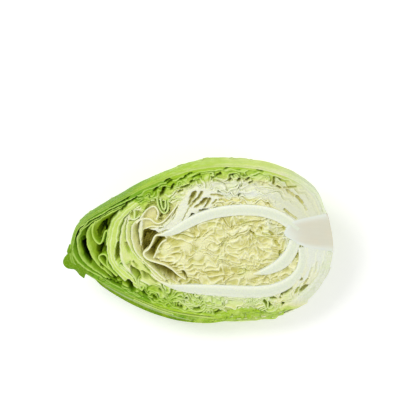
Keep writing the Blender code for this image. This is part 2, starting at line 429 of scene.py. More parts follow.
def vein_net_group():
    """The fine net of veins on a leaf's surface."""
    found = bpy.data.node_groups.get("Vein net")
    if found:
        return found
    tree, given, outer = group(
        "Vein net",
        [("Vector", "Vector", None), ("Scale", "Float", 330.0), ("Width", "Float", 0.08)],
        [("Mask", "Float"), ("Height", "Float")],
    )
    bent = tinted(tree, clouds(tree, given["Vector"], 160.0, 2.0)[1], (0.006, 0.006, 0.006))
    moved = node(tree, "ShaderNodeVectorMath", {0: given["Vector"], 1: bent}, operation="ADD").outputs[0]
    inputs = {"Vector": moved, "Scale": given["Scale"]}
    cells = node(tree, "ShaderNodeTexVoronoi", inputs, feature="DISTANCE_TO_EDGE").outputs[0]
    mask = counted(tree, "SUBTRACT", 1.0, counted(tree, "DIVIDE", cells, given["Width"], clamp=True))
    plug(tree, outer, {"Mask": mask, "Height": counted(tree, "POWER", mask, 2.0)})
    return tree


def new_material(name):
    """A new material, its node tree and its Object coordinates."""
    made = bpy.data.materials.new(name)
    made.use_nodes = True
    return made, made.node_tree, node(made.node_tree, "ShaderNodeTexCoord").outputs["Object"]


STREAK_AND_SHEEN = (0.70, 0.84, 0.40, 1)
VEIN_CREST = (0.68, 0.80, 0.34, 1)
TISSUE_LOOKS = {"Green": "green", "Rib": "rib", "Cut": "cut", "Painted shade": "depth", "Core": "core"}


def veined(tree, vector, colour, height, net, pale):
    """A wrapper leaf's net of veins, pale streaks that are partly painted sheen and fade under its painted
    shade, and big veins, over its tissue.
    """
    veins = node(tree, "ShaderNodeGroup", {"Vector": vector}, node_tree=vein_net_group())
    colour = mixed(tree, counted(tree, "MULTIPLY", veins.outputs["Mask"], net), colour, pale)
    height = counted(tree, "MULTIPLY_ADD", veins.outputs["Height"], 1.5, height)
    # Pale streaks along the leaf, partly painted sheen, faded out where the painted shade towards the tip is
    streak = stepped(tree, fibres(tree, vector, 420.0, 0.1), 0.42, 0.68)
    lit = counted(tree, "MULTIPLY_ADD", attribute(tree, "depth"), -0.11, 0.3, clamp=True)
    colour = mixed(tree, counted(tree, "MULTIPLY", streak, lit), colour, STREAK_AND_SHEEN)
    crest = counted(tree, "MULTIPLY", attribute(tree, "vein"), 0.6)
    return mixed(tree, crest, colour, VEIN_CREST), height


def leaf_material(name, net=0.0, bump=0.25, gloss=0.28):
    """A leaf: tissue colours by its attributes, with a net of veins where net is above 0."""
    found = bpy.data.materials.get(name)
    if found:
        return found
    s = bpy.context.scene.cabbage
    made, tree, vector = new_material(name)
    inputs = {"Vector": vector}
    inputs |= {key: (*getattr(s, key.lower()), 1) for key in ("Cream", "Pale", "Fresh", "Deep", "White")}
    inputs |= {key: attribute(tree, look) for key, look in TISSUE_LOOKS.items()}
    tissue = node(tree, "ShaderNodeGroup", inputs, node_tree=leaf_tissue_group())
    colour, height = tissue.outputs["Color"], tissue.outputs["Height"]
    if net:
        colour, height = veined(tree, vector, colour, height, net, (*s.pale, 1))
    plug(tree, tree.nodes["Principled BSDF"], {
        "Base Color": colour,
        "Roughness": tissue.outputs["Roughness"],
        "Normal": raised(tree, height, bump, 0.0006),
        "Specular IOR Level": gloss,
        "Subsurface Weight": 0.12,
        "Subsurface Radius": (0.004, 0.0045, 0.0015),
        "Subsurface Scale": 1.0,
    })
    return made


STEM_CLOUD = (0.735, 0.71, 0.56, 1)
OLD_CUT_BROWN = (0.42, 0.30, 0.13, 1)


def stem_material():
    """Moist stem flesh with fine fibres along it, browner at the old cut end."""
    s = bpy.context.scene.cabbage
    made, tree, vector = new_material("stem_cut")
    fibre = fibres(tree, vector, 700.0, 0.15)
    flesh = mixed(tree, stepped(tree, clouds(tree, vector, 90.0)[0], 0.35, 0.7), (*s.stem, 1), STEM_CLOUD)
    flesh = mixed(tree, attribute(tree, "rib"), flesh, (*s.white, 1))
    flesh = mixed(tree, attribute(tree, "brown"), flesh, OLD_CUT_BROWN)
    plug(tree, tree.nodes["Principled BSDF"], {
        "Base Color": tinted(tree, flesh, counted(tree, "MULTIPLY_ADD", fibre, 0.08, 0.96)),
        "Roughness": counted(tree, "MULTIPLY_ADD", fibre, 0.25, 0.3),
        "Normal": raised(tree, fibre, 0.15, 0.0004),
        "Subsurface Weight": 0.15,
        "Subsurface Radius": (0.004, 0.003, 0.002),
        "Subsurface Scale": 1.0,
    })
    return made


# Cut leaves

TABLE_CELL = 0.5
TABLE_CORNER = np.array((-125.0, -85.0))
TABLE_SIZE = (480, 320)
TABLE_LAYERS, TABLE_SHARES = 480, 1500
OUTSIDE = -0.2
CUT_EDGE = 0.85
FAR = 1e9


def layer_table():
    """The layer at each point of an even grid over the cut face."""
    layers, shares = np.linspace(-0.15, 2, TABLE_LAYERS), np.linspace(0, 1, TABLE_SHARES)
    layer, share = np.meshgrid(layers, shares, indexing="ij")
    cell = np.round((layer_plan(layer, share) - TABLE_CORNER) / TABLE_CELL).astype(int)
    cell = np.clip(cell, 0, np.array(TABLE_SIZE) - 1)
    flat = (cell[..., 0] * TABLE_SIZE[1] + cell[..., 1]).ravel()
    cells = TABLE_SIZE[0] * TABLE_SIZE[1]
    count = np.bincount(flat, minlength=cells)
    total = np.bincount(flat, layer.ravel(), minlength=cells)
    return np.where(count, total / np.maximum(count, 1), OUTSIDE).reshape(TABLE_SIZE)


def layer_at(plan, table):
    """The layer at plan points, looked up in the table."""
    spot = np.clip((plan - TABLE_CORNER) / TABLE_CELL, 0, np.array(TABLE_SIZE) - 1.001)
    cell = spot.astype(int)
    f, g = spot[..., 0] - cell[..., 0], spot[..., 1] - cell[..., 1]
    i, k = cell[..., 0], cell[..., 1]
    near = table[i, k] * (1 - g) + table[i, k + 1] * g
    far = table[i + 1, k] * (1 - g) + table[i + 1, k + 1] * g
    return near * (1 - f) + far * f


def left_end(share):
    """1 at the pointed end of the head, 0 by the stem."""
    return smooth((share - 0.22) / 0.16) * smooth((0.80 - share) / 0.16)


def stem_clear(share, reach):
    """0 by the stem and 1 away from it."""
    return smooth((share - 0.02) / reach) * smooth((0.98 - share) / reach)


def fold_plane(plan, share, layer, seed):
    """Folds the plane of the cut: tightly above the heart, more widely below it, and not by the stem."""
    amount = stem_clear(share, 0.14) * smooth(layer / 0.07) * smooth((1.02 - layer) / 0.08)
    below = smooth((share - 0.58) / 0.08)
    tight = smooth((layer - 0.02) / 0.14)
    plan = crumple(plan, 19.0, amount * 3.0, seed, 2)
    plan = crumple(plan, 11.5, amount * (0.7 + 2.0 * below), seed + 10, 2)
    plan = crumple(plan, 7.6, amount * (1.2 + 1.9 * tight) * (1 - 0.2 * below), seed + 20, 3)
    return crumple(plan, 4.2, amount * (0.5 + 0.75 * tight), seed + 40, 2)


def steepness(values, plan):
    """How much values on a grid of plan points change for each millimetre."""
    a, b = np.gradient(plan[..., 0])
    c, d = np.gradient(plan[..., 1])
    p, q = np.gradient(values)
    area = a * d - b * c
    area = np.where(np.abs(area) < 1e-4, 1e-4, area)
    return np.hypot((p * d - q * c) / area, (q * a - p * b) / area)


def leaf_profile(along, width, part):
    """Across a nested leaf: its inner side's width, how far down that side, and its cut edge's rims."""
    crest = np.minimum(CUT_EDGE, part * width)
    t = np.clip((along - crest) / (width - crest), 0, 1)
    rim = np.clip(1 - np.abs(along / crest * 2 - 1), 0, 1)
    return width - crest, t, (1 - smooth(rim * 3)) * (t <= 0)


def leaf_surface(plan, place, deep, merge):
    """Height and cut edges of leaves numbered by place, each sloping down to the next one's edge."""
    width = 1 / np.clip(steepness(place, plan), 0.03, 2.5)
    index = np.floor(place)
    alone = 1 - merge * (index % 3 != 0)
    side, t, rims = leaf_profile((place - index) * width, width, 0.45)
    drop = np.minimum(deep, 2.2 * side) * alone
    stagger = np.random.default_rng(7).uniform(0, 0.5, 64)[index.astype(int) % 64]
    height = -drop * t**0.7 - stagger * alone * (1 - merge) - 0.22 * rims * alone
    return height, smooth(1 - t * 5) * alone, index


def from_segment(plan, a, b):
    """Distance of plan points from the straight line between two points."""
    side = b - a
    t = np.clip(((plan - a) @ side) / (side @ side), 0, 1)
    return np.linalg.norm(plan - a - t[..., None] * side, axis=-1)


def inside(plan, outline):
    """Distance of plan points from a closed outline that the camera sees, negative outside it."""
    corners = seen(outline)
    nearest = np.full(plan.shape[:-1], FAR)
    odd = np.zeros(plan.shape[:-1], bool)
    for a, b in zip(corners, np.roll(corners, -1, axis=0)):
        nearest = np.minimum(nearest, from_segment(plan, a, b))
        rise = b[1] - a[1] if abs(b[1] - a[1]) > 1e-9 else 1e-9
        crosses = (a[1] > plan[..., 1]) != (b[1] > plan[..., 1])
        odd ^= crosses & (plan[..., 0] < a[0] + (b[0] - a[0]) * (plan[..., 1] - a[1]) / rise)
    return np.where(odd, nearest, -nearest)


def beside(plan, line):
    """Distance of plan points from a line, positive on its left side."""
    nearest = np.full(plan.shape[:-1], FAR)
    signed = np.zeros(plan.shape[:-1])
    for a, b in zip(line, line[1:]):
        gap = from_segment(plan, a, b)
        side, away = b - a, plan - a
        turn = side[0] * away[..., 1] - side[1] * away[..., 0]
        signed = np.where(gap < nearest, np.copysign(gap, turn), signed)
        nearest = np.minimum(nearest, gap)
    return signed


# Open folds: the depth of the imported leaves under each, and its outline as the camera sees it
OPEN_FOLDS = (
    (17.0, (
        (82, 239), (84, 238.6), (86, 246), (88.5, 254), (91.5, 262), (90, 264), (85, 257), (82.4, 248),
    )),
    (9.0, ((73, 239), (75, 231), (79, 227), (79.4, 231), (76, 238))),
    (14.0, ((97.4, 243), (101, 241), (103, 248), (100.4, 256.5), (97.4, 252))),
    (7.0, ((103, 224), (108, 221.6), (106.6, 229), (103.6, 232), (100, 238), (97.6, 232))),
    (12.0, ((99.6, 261), (103, 261.6), (104.6, 265), (103, 267.6), (100.6, 265.6))),
    (17.0, ((111.4, 270.6), (114, 273.6), (117.6, 278.4), (115, 280), (112.4, 277))),
    (3.5, ((130.4, 214.4), (133, 211.2), (134.2, 213), (134, 217.6), (131.4, 217.2))),
    (3.5, ((135.8, 211), (139, 211), (142.4, 213.4), (140, 216.6), (136, 217.6))),
    (6.0, (
        (117.6, 243), (119, 243), (119.2, 252), (119, 260), (115.6, 260.4), (114.8, 254), (115.6, 247.6),
    )),
    (2.5, ((125.6, 263.6), (130, 261.4), (131, 266), (128.6, 267.6))),
    (3.0, (
        (144, 214), (147, 207), (153, 203.4), (160, 201), (170, 203), (174, 208), (170, 219), (163, 225),
        (150, 229), (143, 230),
    )),
    (12.0, (
        (143.6, 231), (148, 229.4), (155, 231), (166, 239), (158, 247), (153, 258), (160, 262), (170, 267),
        (181, 277.5), (171, 279), (157, 270), (145, 258), (142, 246),
    )),
    (10.0, (
        (130.6, 265.6), (134, 268), (138, 270.6), (140.4, 275), (140, 279.4), (136, 278.4), (132.6, 274),
        (130.4, 269),
    )),
    (6.0, ((141, 271.6), (145, 273), (149, 276), (148, 279), (144, 277.6))),
    (3.5, ((124.6, 242.6), (126.6, 243), (129, 248), (130, 253), (128, 252.6), (125.8, 247.6))),
)

# Small dark gaps between leaves: both ends as the camera sees them, half width and depth
SLITS = (
    (217, 177, 220, 175.6, 0.9, 7), (229, 182, 231, 180.5, 0.8, 6), (237.6, 182, 239, 180, 0.9, 8),
    (246, 181.5, 248, 179.6, 0.8, 8), (249, 184.4, 250.6, 183.6, 0.8, 8), (243, 178, 245, 177.4, 0.6, 5),
    (212, 179.5, 221, 176.5, 0.6, 5), (256, 171, 262, 173, 0.6, 4), (272.6, 179, 272.4, 185, 0.9, 4),
    (276, 187, 278.5, 188.4, 0.8, 5), (283, 188.6, 294, 188.2, 0.8, 1.8), (286, 191, 293, 196, 1.1, 1.8),
    (296, 197, 301.5, 203.5, 1.0, 2.6), (301.5, 203.5, 306, 210, 0.7, 1.0),
    (284, 209.5, 289, 214, 0.9, 2.0), (289, 214, 295.5, 218, 0.8, 1.5), (191, 184, 194, 182.6, 0.9, 7),
    (182, 189, 189, 186.6, 0.9, 7), (179, 193, 182, 191.6, 0.8, 6), (172, 190, 174, 186, 0.9, 7),
    (162, 196, 165, 190, 1.4, 9), (144, 188, 147, 185.6, 0.9, 7), (122, 210.6, 129, 203.6, 0.9, 8),
    (129, 203.6, 137.6, 197.6, 0.7, 5), (121.6, 200.8, 124.6, 200.2, 1.2, 9),
    (111, 207, 121, 201.4, 0.8, 3), (131, 195, 128, 199, 0.7, 6), (124.4, 208.4, 131, 202.6, 0.6, 4),
    (106, 279, 120, 286, 0.7, 5), (108, 276.4, 121, 283.4, 0.6, 4), (276.4, 243, 278.8, 246, 1.3, 2.4),
    (280.4, 253, 281.4, 258, 1.2, 2.4), (269.4, 232.4, 272.6, 235, 1.0, 2.0),
    (259, 227.6, 262.6, 230, 0.9, 1.8), (250.6, 231.6, 253.4, 234.4, 0.9, 2.0),
    (150, 203.4, 157, 202, 0.8, 3), (153, 297, 156, 300, 0.9, 8), (178, 307, 181, 309, 0.9, 8),
    (217, 318, 221, 319, 0.8, 6), (127.4, 281.6, 132, 290, 1.7, 13), (161, 281.4, 165, 285, 0.7, 6),
    (166, 282.4, 170, 287, 0.7, 5), (144, 265, 150, 272.6, 0.7, 3), (148, 276.4, 156, 282.6, 0.7, 5),
    (140, 291, 146, 296, 0.8, 6), (133, 261.6, 137, 267, 0.8, 3), (183, 272, 187, 279, 0.8, 6),
    (269, 303, 273, 306, 0.7, 5), (285, 292, 282, 298, 0.9, 6), (300, 288, 297, 293, 1.0, 3),
    (309, 279, 306, 284, 0.9, 2), (318, 262, 317, 272, 0.9, 0.9), (313, 268, 310, 277, 0.9, 1.0),
    (325, 262, 322, 276, 0.8, 0.8), (189.5, 221, 193, 215.5, 1.5, 9), (200.5, 211.2, 207, 210.4, 1.1, 8),
    (99.6, 232, 99.9, 238, 0.9, 8), (107, 230, 107.4, 237, 0.8, 7), (161, 218, 163, 215, 1.2, 9),
    (160.6, 228, 163, 226.6, 0.9, 6), (192, 198.4, 194.6, 194.4, 1.7, 7), (189, 204.6, 192, 198.4, 0.9, 4),
    (199, 198.4, 201.8, 193, 1.1, 5), (194, 203, 199, 198.4, 1.2, 5), (190, 207.6, 194, 203, 0.8, 3),
    (201.4, 204, 206, 200, 1.4, 7), (196, 207.4, 201.4, 204, 1.1, 5), (207.8, 204, 209.8, 199.6, 0.9, 5),
    (204.6, 207.6, 207.8, 204, 0.7, 4), (216, 195.4, 221.6, 197, 0.9, 4),
    (163, 231.4, 173, 229.4, 0.6, 1.6), (173, 229.4, 187, 228, 0.5, 1.2), (172.4, 218, 177.6, 208, 0.6, 2),
    (182.6, 221, 188.6, 209, 0.6, 1.6), (213, 204, 216, 201, 0.9, 3), (212, 195.4, 220, 196.4, 0.9, 3),
    (134.6, 279, 135.4, 281, 0.8, 6), (130, 221.2, 136.6, 219.4, 0.8, 4), (99, 279, 103, 280.4, 1.0, 7),
    (152, 181.6, 159, 178.6, 0.8, 6), (166, 182.4, 170, 180, 0.8, 5), (155, 192, 158, 188.6, 0.8, 6),
    (168.6, 184, 172, 181.6, 0.9, 5), (224, 170.6, 230, 167.4, 0.7, 4), (193, 178.6, 200, 176.4, 0.8, 5),
    (181, 181, 186, 178.6, 0.8, 5), (186, 177, 192, 174.6, 0.7, 4), (304, 290.5, 308, 287.6, 2.3, 4.5),
    (285.4, 291.6, 290, 288, 2.8, 5.5), (266, 302, 270, 306, 1.6, 5), (272, 298.4, 277, 298.8, 0.8, 7),
    (284.6, 304, 286, 305.8, 1.2, 6), (196, 310, 200, 312.5, 1.8, 6), (301.4, 277.5, 302.6, 279.5, 1.1, 4),
    (216, 314.5, 220, 312.6, 0.9, 7),
)

# The nested leaves at the pointed end, from the outside in: how far the inner side of each slopes down
# before the next one, how late it does so, its green, and its cut edge as the camera sees it
NESTED = (
    (3.5, 0.7, 1.0, (
        (140, 197.5), (128, 200.5), (115, 206.5), (97, 216), (84, 223.4), (75.5, 231), (72, 240),
        (71.5, 250), (74, 258), (80, 265), (90, 272), (104, 280), (118, 288), (130, 294),
    )),
    (5.0, 0.6, 0.92, (
        (140, 200.5), (128, 204), (112, 211), (98, 218.6), (87, 225.6), (79.6, 232), (77, 240.5),
        (77.5, 250), (80, 257.5), (85.4, 264), (95, 271.5), (108, 280), (121, 287.5), (133, 293),
    )),
    (7.5, 0.8, 0.76, (
        (134, 203), (118, 209.6), (102, 218), (92.5, 224.5), (87.5, 231), (86.2, 240), (88, 249),
        (91, 256.5), (95.4, 262.5), (101, 268.5), (108, 274.6), (116, 280.6), (124, 286), (135, 292),
    )),
    (0.5, 1.0, 0.47, (
        (138, 199), (128, 205), (118.5, 213), (112.6, 220.5), (109, 228), (107.3, 236.5), (106.8, 246),
        (107.4, 255), (109, 263), (113, 269.5), (119, 276), (126, 282.5), (138, 289),
    )),
    (0.5, 1.0, 0.4, (
        (140, 201), (131, 207), (122, 214.6), (115.6, 222), (112.2, 230), (110.4, 238), (109.4, 247),
        (110, 256), (112, 262.6), (116.6, 269), (123, 276), (131, 281.8), (141, 288),
    )),
    (3.6, 1.2, 0.38, (
        (143, 202.6), (134, 208.4), (125.6, 215.6), (120, 222.6), (117.2, 230), (116, 238), (114.4, 247),
        (113.4, 256), (115, 262.6), (119.4, 267.6), (125.6, 273), (132, 279), (143, 286),
    )),
    (2.2, 1.5, 0.25, (
        (144, 203.6), (134.6, 209.2), (127.4, 216.6), (123.6, 224), (121.4, 231), (120, 238.6),
        (119.4, 246), (119.4, 254), (120.4, 260), (124, 266.6), (130, 272.6), (137, 278.6), (147, 284.6),
    )),
    (2.4, 1.2, 0.2, (
        (147, 205), (140, 208.4), (133.4, 210.2), (129.2, 214.6), (127.6, 221), (126.4, 228), (126, 234),
        (126.8, 240), (129.6, 247.6), (133.4, 253.4), (138, 258.6), (143.6, 264.4), (149, 270), (155, 276),
        (161, 281),
    )),
    (6.0, 1.3, 0.13, (
        (147, 214.6), (143, 217.6), (138.4, 219.8), (134.6, 222), (132, 227), (130.8, 233), (131.2, 240),
        (133.4, 248), (137.6, 255), (143, 261.4), (148.6, 266.6), (154, 271.4), (160, 277), (166, 282),
    )),
    (3.0, 1.0, 0.08, (
        (149, 218), (144.6, 219.4), (141, 221.8), (139.2, 228), (139, 235), (140.4, 243), (142, 250),
        (143.6, 255), (148, 261.4), (154, 267), (160, 272.6), (167, 278), (174, 282),
    )),
)
NESTED_PART = (
    (60, 250), (66, 232), (80, 220), (97, 213), (120, 203), (133, 199), (140, 203), (145, 211), (147, 218),
    (146, 226), (144, 240), (146, 254), (158, 267), (172, 279), (160, 284), (146, 287), (132, 291),
    (118, 290), (90, 276), (70, 268),
)

# Wide folds: the layer that colours each, and its cut edge as the camera sees it
WIDE_FOLDS = {
    "outer": (
        (0.24, (
            (96, 221), (93.4, 226), (92.4, 231), (93, 236), (95.4, 240.6), (99, 243.6), (101.4, 241.8),
            (103, 238), (104.4, 233), (106, 230.6), (107.6, 231.5), (107.6, 236), (106.5, 240),
            (106.4, 245),
        )),
        (0.27, (
            (110, 270), (105, 266), (101, 262), (98.3, 258), (98.8, 255.4), (101.6, 254), (105, 254.8),
            (106.8, 258), (106.2, 262), (107.4, 266), (111, 271), (116, 276),
        )),
        (0.1, ((88, 222), (84, 226.6), (80.6, 229.4), (80.4, 233), (77.6, 237), (77.4, 243))),
    ),
    "middle": (
        (0.5, (
            (157.5, 198), (158, 203), (159.5, 208), (162, 212), (164.5, 213.3), (167.2, 211.5),
            (168.5, 207), (168.3, 202), (170, 199),
        )),
        (0.55, ((161, 199), (161.5, 204), (163, 208.6), (165, 209), (166, 205), (165.6, 200))),
        (0.45, (
            (118.4, 266.4), (118.6, 263.4), (120.4, 261.4), (123, 262), (125.6, 263.4), (127.6, 262.4),
            (128.2, 260.4),
        )),
        (0.5, ((119, 264.6), (124, 268.4), (129.4, 272.4), (133.4, 277), (135.6, 281.6), (137, 286))),
        (0.5, (
            (137.4, 278.6), (138, 283), (139, 288), (141, 290.4), (143, 287), (144, 284.6), (145.4, 287.6),
        )),
        (0.65, ((134.8, 209.6), (135, 213), (134.6, 218.8))),
        (0.7, ((127.4, 216.6), (130.4, 218.6), (134.4, 219.6), (138, 217.6), (140.6, 215.6))),
        (0.45, (
            (176, 298), (182, 299.6), (188, 302), (192, 306), (196.5, 307.4), (200, 304.6), (199, 300.6),
            (194.6, 300), (193, 303), (195.4, 304.6),
        )),
        (0.45, (
            (180, 303), (186, 305.6), (190, 309.6), (196, 312.6), (203, 311), (205.6, 305.6), (203, 299.6),
        )),
    ),
    "inner": (
        (0.85, (
            (140, 219.5), (143, 215), (147, 210), (151, 207.4), (154.6, 206.8), (157.6, 210), (158.4, 214),
            (156.6, 219.6),
        )),
        (0.85, (
            (136.6, 223), (139, 220.6), (143, 218.9), (147.5, 218.5), (151, 219.4), (154.4, 222.2),
            (158, 223.6), (162.6, 222), (167, 218), (171, 213.4), (175, 208.5), (178, 204),
        )),
        (0.8, ((146, 228), (152, 226), (158, 226.6), (163, 226), (168, 223), (171, 219.5), (175, 214))),
        (0.9, ((166, 239.5), (161.8, 242), (158.6, 246.5), (156.4, 251.5), (153.4, 257.5))),
        (0.6, (
            (262, 297.6), (266.4, 299.4), (269.4, 303), (269.4, 308.6), (272.6, 309), (275.6, 304.6),
            (273.6, 300.4),
        )),
        (0.6, ((258, 301), (263, 302.6), (266, 306), (267.6, 311.4), (273, 313), (279, 309), (280, 303.6))),
        (0.7, ((282, 296), (286, 299), (288, 303.4), (286.4, 307.6))),
        (0.7, ((292, 297), (295.4, 300), (299, 301.6), (303.4, 300))),
    ),
}

# Where the cut runs flat through a broad leaf, as the camera sees it
FLAT_PARTS = (
    (
        (186, 196), (189, 190), (197, 188), (208, 190), (218, 193), (222, 197), (217, 203), (212, 208),
        (201, 213), (191, 217), (184, 224), (170, 232), (158, 232), (164, 226), (173, 219), (177, 210),
        (181, 202),
    ),
    (
        (141, 219), (146, 212), (151, 207.6), (156, 208), (158, 213), (157, 219), (161, 222), (168, 215),
        (174, 212), (172, 220), (166, 226), (158, 233), (148, 233), (142, 230), (140, 224),
    ),
)


def open_depth(plan):
    """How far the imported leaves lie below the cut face, in the open folds and the small gaps."""
    low = np.zeros(plan.shape[:-1])
    plan = plan + 0.55 * ripples(plan / 2.6, 4, 91)
    for depth, outline in OPEN_FOLDS:
        low = np.maximum(low, depth * smooth((inside(plan, outline) + 0.9) / 1.9))
    for x, y, end_x, end_y, width, depth in SLITS:
        gap = from_segment(plan, *seen(((x, y), (end_x, end_y))))
        low = np.maximum(low, depth * np.exp(-((gap / width) ** 4)))
    return low


def nested_leaves(plan):
    """Height, cut edges and green of the nested leaves at the pointed end."""
    wobbled = plan + (0.5 * ripples(plan / 5.0, 9, 55) + 0.22 * ripples(plan / 2.1, 9, 57))
    gaps = [beside(wobbled, spline(seen(line), np.linspace(0, 1, 40))) for *_, line in NESTED]
    height, cut, tone = (np.full(plan.shape[:-1], value) for value in (-1.0, 0.0, 1.0))
    for k, (deep, late, green, _) in enumerate(NESTED):
        after = -gaps[k + 1] if k + 1 < len(NESTED) else np.full(plan.shape[:-1], 8.0)
        along = np.maximum(gaps[k], 0)
        side, t, rims = leaf_profile(along, along + np.maximum(after, 0) + 0.05, 0.4)
        own = -np.minimum(deep, 3.0 * side) * t**late - 0.2 * rims
        streak = ripple(np.stack((along / 0.75 + 7 * k, plan.sum(axis=-1) / 15), axis=-1), 83)
        here = (gaps[k] > 0) & (after > 0)
        height = np.where(here, own + 0.2 * streak * t - 0.35 * (k % 3), height)
        cut = np.where(here, np.maximum(smooth(1 - t * 5), 0.45 * smooth(streak * 2 - 0.3) * (k > 2)), cut)
        tone = np.where(here, green, tone)
    return height, cut, tone


def lean_in(plan, depth):
    """Shift of the leaves with depth, towards the heart, so that their inner sides show."""
    away = plan - CENTRE
    rate = 0.10 + 0.26 * smooth((-10 - plan[..., 0]) / 50)
    return -away / np.maximum(np.linalg.norm(away, axis=-1, keepdims=True), 8) * (rate * depth)[..., None]


def greenness(layer, share, plan):
    """How green a leaf is: the outermost most, the parts by the stem and the heart least."""
    far = smooth((from_stem(share) - 0.03) / 0.22)
    below = smooth((share - 0.6) / 0.1)
    base = (1.02 - 1.15 * np.clip(layer, 0, 1) ** 0.8) * (0.12 + 0.58 * far + 0.42 * left_end(share))
    base = base * (1 - 0.3 * below) + 0.09 * left_end(share)
    above = smooth((plan[..., 0] + 72) / 40) * smooth((layer - 0.11) / 0.2) * (share < 0.5)
    pale = 0.2 * below * far * smooth((layer - 0.3) / 0.3)
    return base * (1 - 0.6 * above) + pale + 0.09 * ripple(plan / 17, 5)


# Down the side of a blade of leaf: heights, each with the part of the full thickness there
BLADE_ROWS = ((0.0, 0.55), (-0.3, 1.0), (-1.5, 1.0), (-3.5, 1.0), (-7.0, 0.95), (-12.0, 0.9), (-19.0, 0.8))
RIB_ROWS = (
    (-0.1, 0.3), (-0.3, 0.8), (-0.7, 1.0), (-2.0, 1.0), (-5.0, 1.0), (-9.0, 0.95), (-14.0, 0.9),
    (-20.0, 0.85),
)


def blade(path, rows, rng, seed):
    """One upright blade of leaf along its cut edge: points, faces and looks."""
    plan, share, layer, thick, rib = path
    count = len(plan)
    step = np.gradient(plan, axis=0)
    step /= np.linalg.norm(step, axis=-1, keepdims=True) + 1e-9
    normal = np.stack((-step[:, 1], step[:, 0]), axis=-1)
    detail = bpy.context.scene.cabbage.detail / MM
    along = np.stack((np.arange(count) * detail / 14, np.full(count, rng.uniform(0, 50))), axis=-1)
    top = (-rng.uniform(0.0, 0.4) - 0.5 * np.abs(ripple(along, seed))) * (1 - rib)
    loose = np.clip(1 - rib, 0, 1)[:, None]
    drift = ripples(plan / 16, 3.1, 70)
    around = [(-1, *row) for row in rows[::-1]] + [(1, *row) for row in rows]
    ring = []
    for side, height, full in around:
        lean = lean_in(plan, np.full(count, -height)) + drift * 1.8 * -height / 20
        spot = plan + side * (thick * full)[:, None] * normal + loose * lean
        ring.append(sink(spot, layer, top + height))
    heights = np.array([height for _, height, _ in around]) + np.zeros((count, 1))
    looks = {
        "green": np.repeat(greenness(layer, share, plan), len(around)),
        "rib": np.repeat(rib, len(around)),
        "cut": np.where(heights > -0.4, 1.0, 0.0),
        # Painted shade, darker further down the blade's sides
        "depth": -heights,
    }
    return set_down(np.stack(ring, axis=1), INSIDE_FLOOR), tube(count, len(around)), looks


def blades(paths, seed, rows):
    """Upright blades of leaf along their paths, as one body."""
    rng = np.random.default_rng(seed)
    return joined(*[blade(path, rows, rng, seed) for path in paths])


def fold_path(layer, points, number):
    """A wide fold's path: plan, share, layer, half thickness and rib along it."""
    s = bpy.context.scene.cabbage
    plan = evenly(spline(seen(points), np.linspace(0, 1, 300)), s.detail / MM)
    count = len(plan)
    along = np.stack((np.arange(count) / 9.0, np.full(count, number * 1.7)), axis=-1)
    half = s.blade / MM / 2 * (1.05 + 0.3 * ripple(along, 12))
    return plan, np.full(count, 0.5), np.full(count, layer), half, np.zeros(count)


def rib_path(points):
    """A ribbed leaf's path, as fold_path gives them."""
    line = evenly(spline(points, np.linspace(0, 1, 400)), bpy.context.scene.cabbage.detail / MM)
    thick, count = np.maximum(line[:, 2], 0.45), len(line)
    return line[:, :2], np.full(count, 0.2), np.full(count, 0.995), thick, smooth((thick - 0.5) / 1.6)


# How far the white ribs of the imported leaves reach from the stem, as shares, from the outermost leaf in
RIB_REACH = (0.06, 0.10, 0.07, 0.12, 0.23, 0.10, 0.06, 0.05, 0.05, 0.04)
LEAVES = 8.0
GROUP_COLUMNS = 1100
WALL_TURNS = np.radians((15, 30, 45, 60, 75, 90))
WALLS = ((0, 0), (len(WALL_TURNS), len(WALL_TURNS)))


def packed_ribs(plan, share, layer, index):
    """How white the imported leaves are."""
    reach = np.array(RIB_REACH)[np.clip(index, 0, len(RIB_REACH) - 1).astype(int)]
    rib = 0.82 * (1 - smooth((from_stem(share) - reach * (1 - 0.65 * (share > 0.5))) / 0.07))
    u = plan[..., 0]
    above = smooth((u + 30) / 30) * (share < 0.5)
    rib = np.maximum(rib, 0.6 * above * smooth((layer - 0.24) / 0.1) * smooth((0.76 - layer) / 0.12))
    rib = np.maximum(rib, 0.42 * smooth((u - 58) / 16) * (share > 0.5))
    return np.maximum(rib, 0.3 * smooth((u + 20) / 35) * smooth((layer - 0.35) / 0.3) * (share > 0.6))


def packed_leaves(plan, share, layer, table):
    """Height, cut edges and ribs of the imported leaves, before the outlined parts are set into them."""
    folded = fold_plane(plan, share, layer, bpy.context.scene.cabbage.seed + 100)
    upper_left = smooth((share - 0.2) / 0.08) * smooth((0.47 - share) / 0.06) * smooth((0.75 - layer) / 0.2)
    right = smooth((plan[..., 0] - 5) / 20) * smooth((layer - 0.3) / 0.2)
    place = LEAVES * (1 + 0.45 * upper_left) * layer_at(folded, table)
    place = place + (0.35 + 0.25 * (share > 0.5)) * ripple(plan / 4.6, 51)
    clear = stem_clear(share, 0.2)
    pits = smooth((ripple(plan / 7.5, 91) - 0.5) / 0.25) * clear
    deep = 0.35 + (2.6 + 1.0 * left_end(share) + 7.0 * pits) * clear * smooth((layer + 0.01) / 0.05)
    lower = smooth((share - 0.6) / 0.08)
    deep = deep * (1 - 0.45 * upper_left) * (1 - 0.35 * right) * (1 - 0.25 * lower)
    height, cut, index = leaf_surface(plan, place, deep, 1 - clear)
    return height, cut, packed_ribs(plan, share, layer, index)


def bowl_wall(plan, layer, lip):
    """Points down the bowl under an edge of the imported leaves."""
    depth = float(layer_depth(layer))
    return np.stack([sink(plan, layer, np.minimum(-depth * math.sin(a), lip)) for a in WALL_TURNS], axis=1)


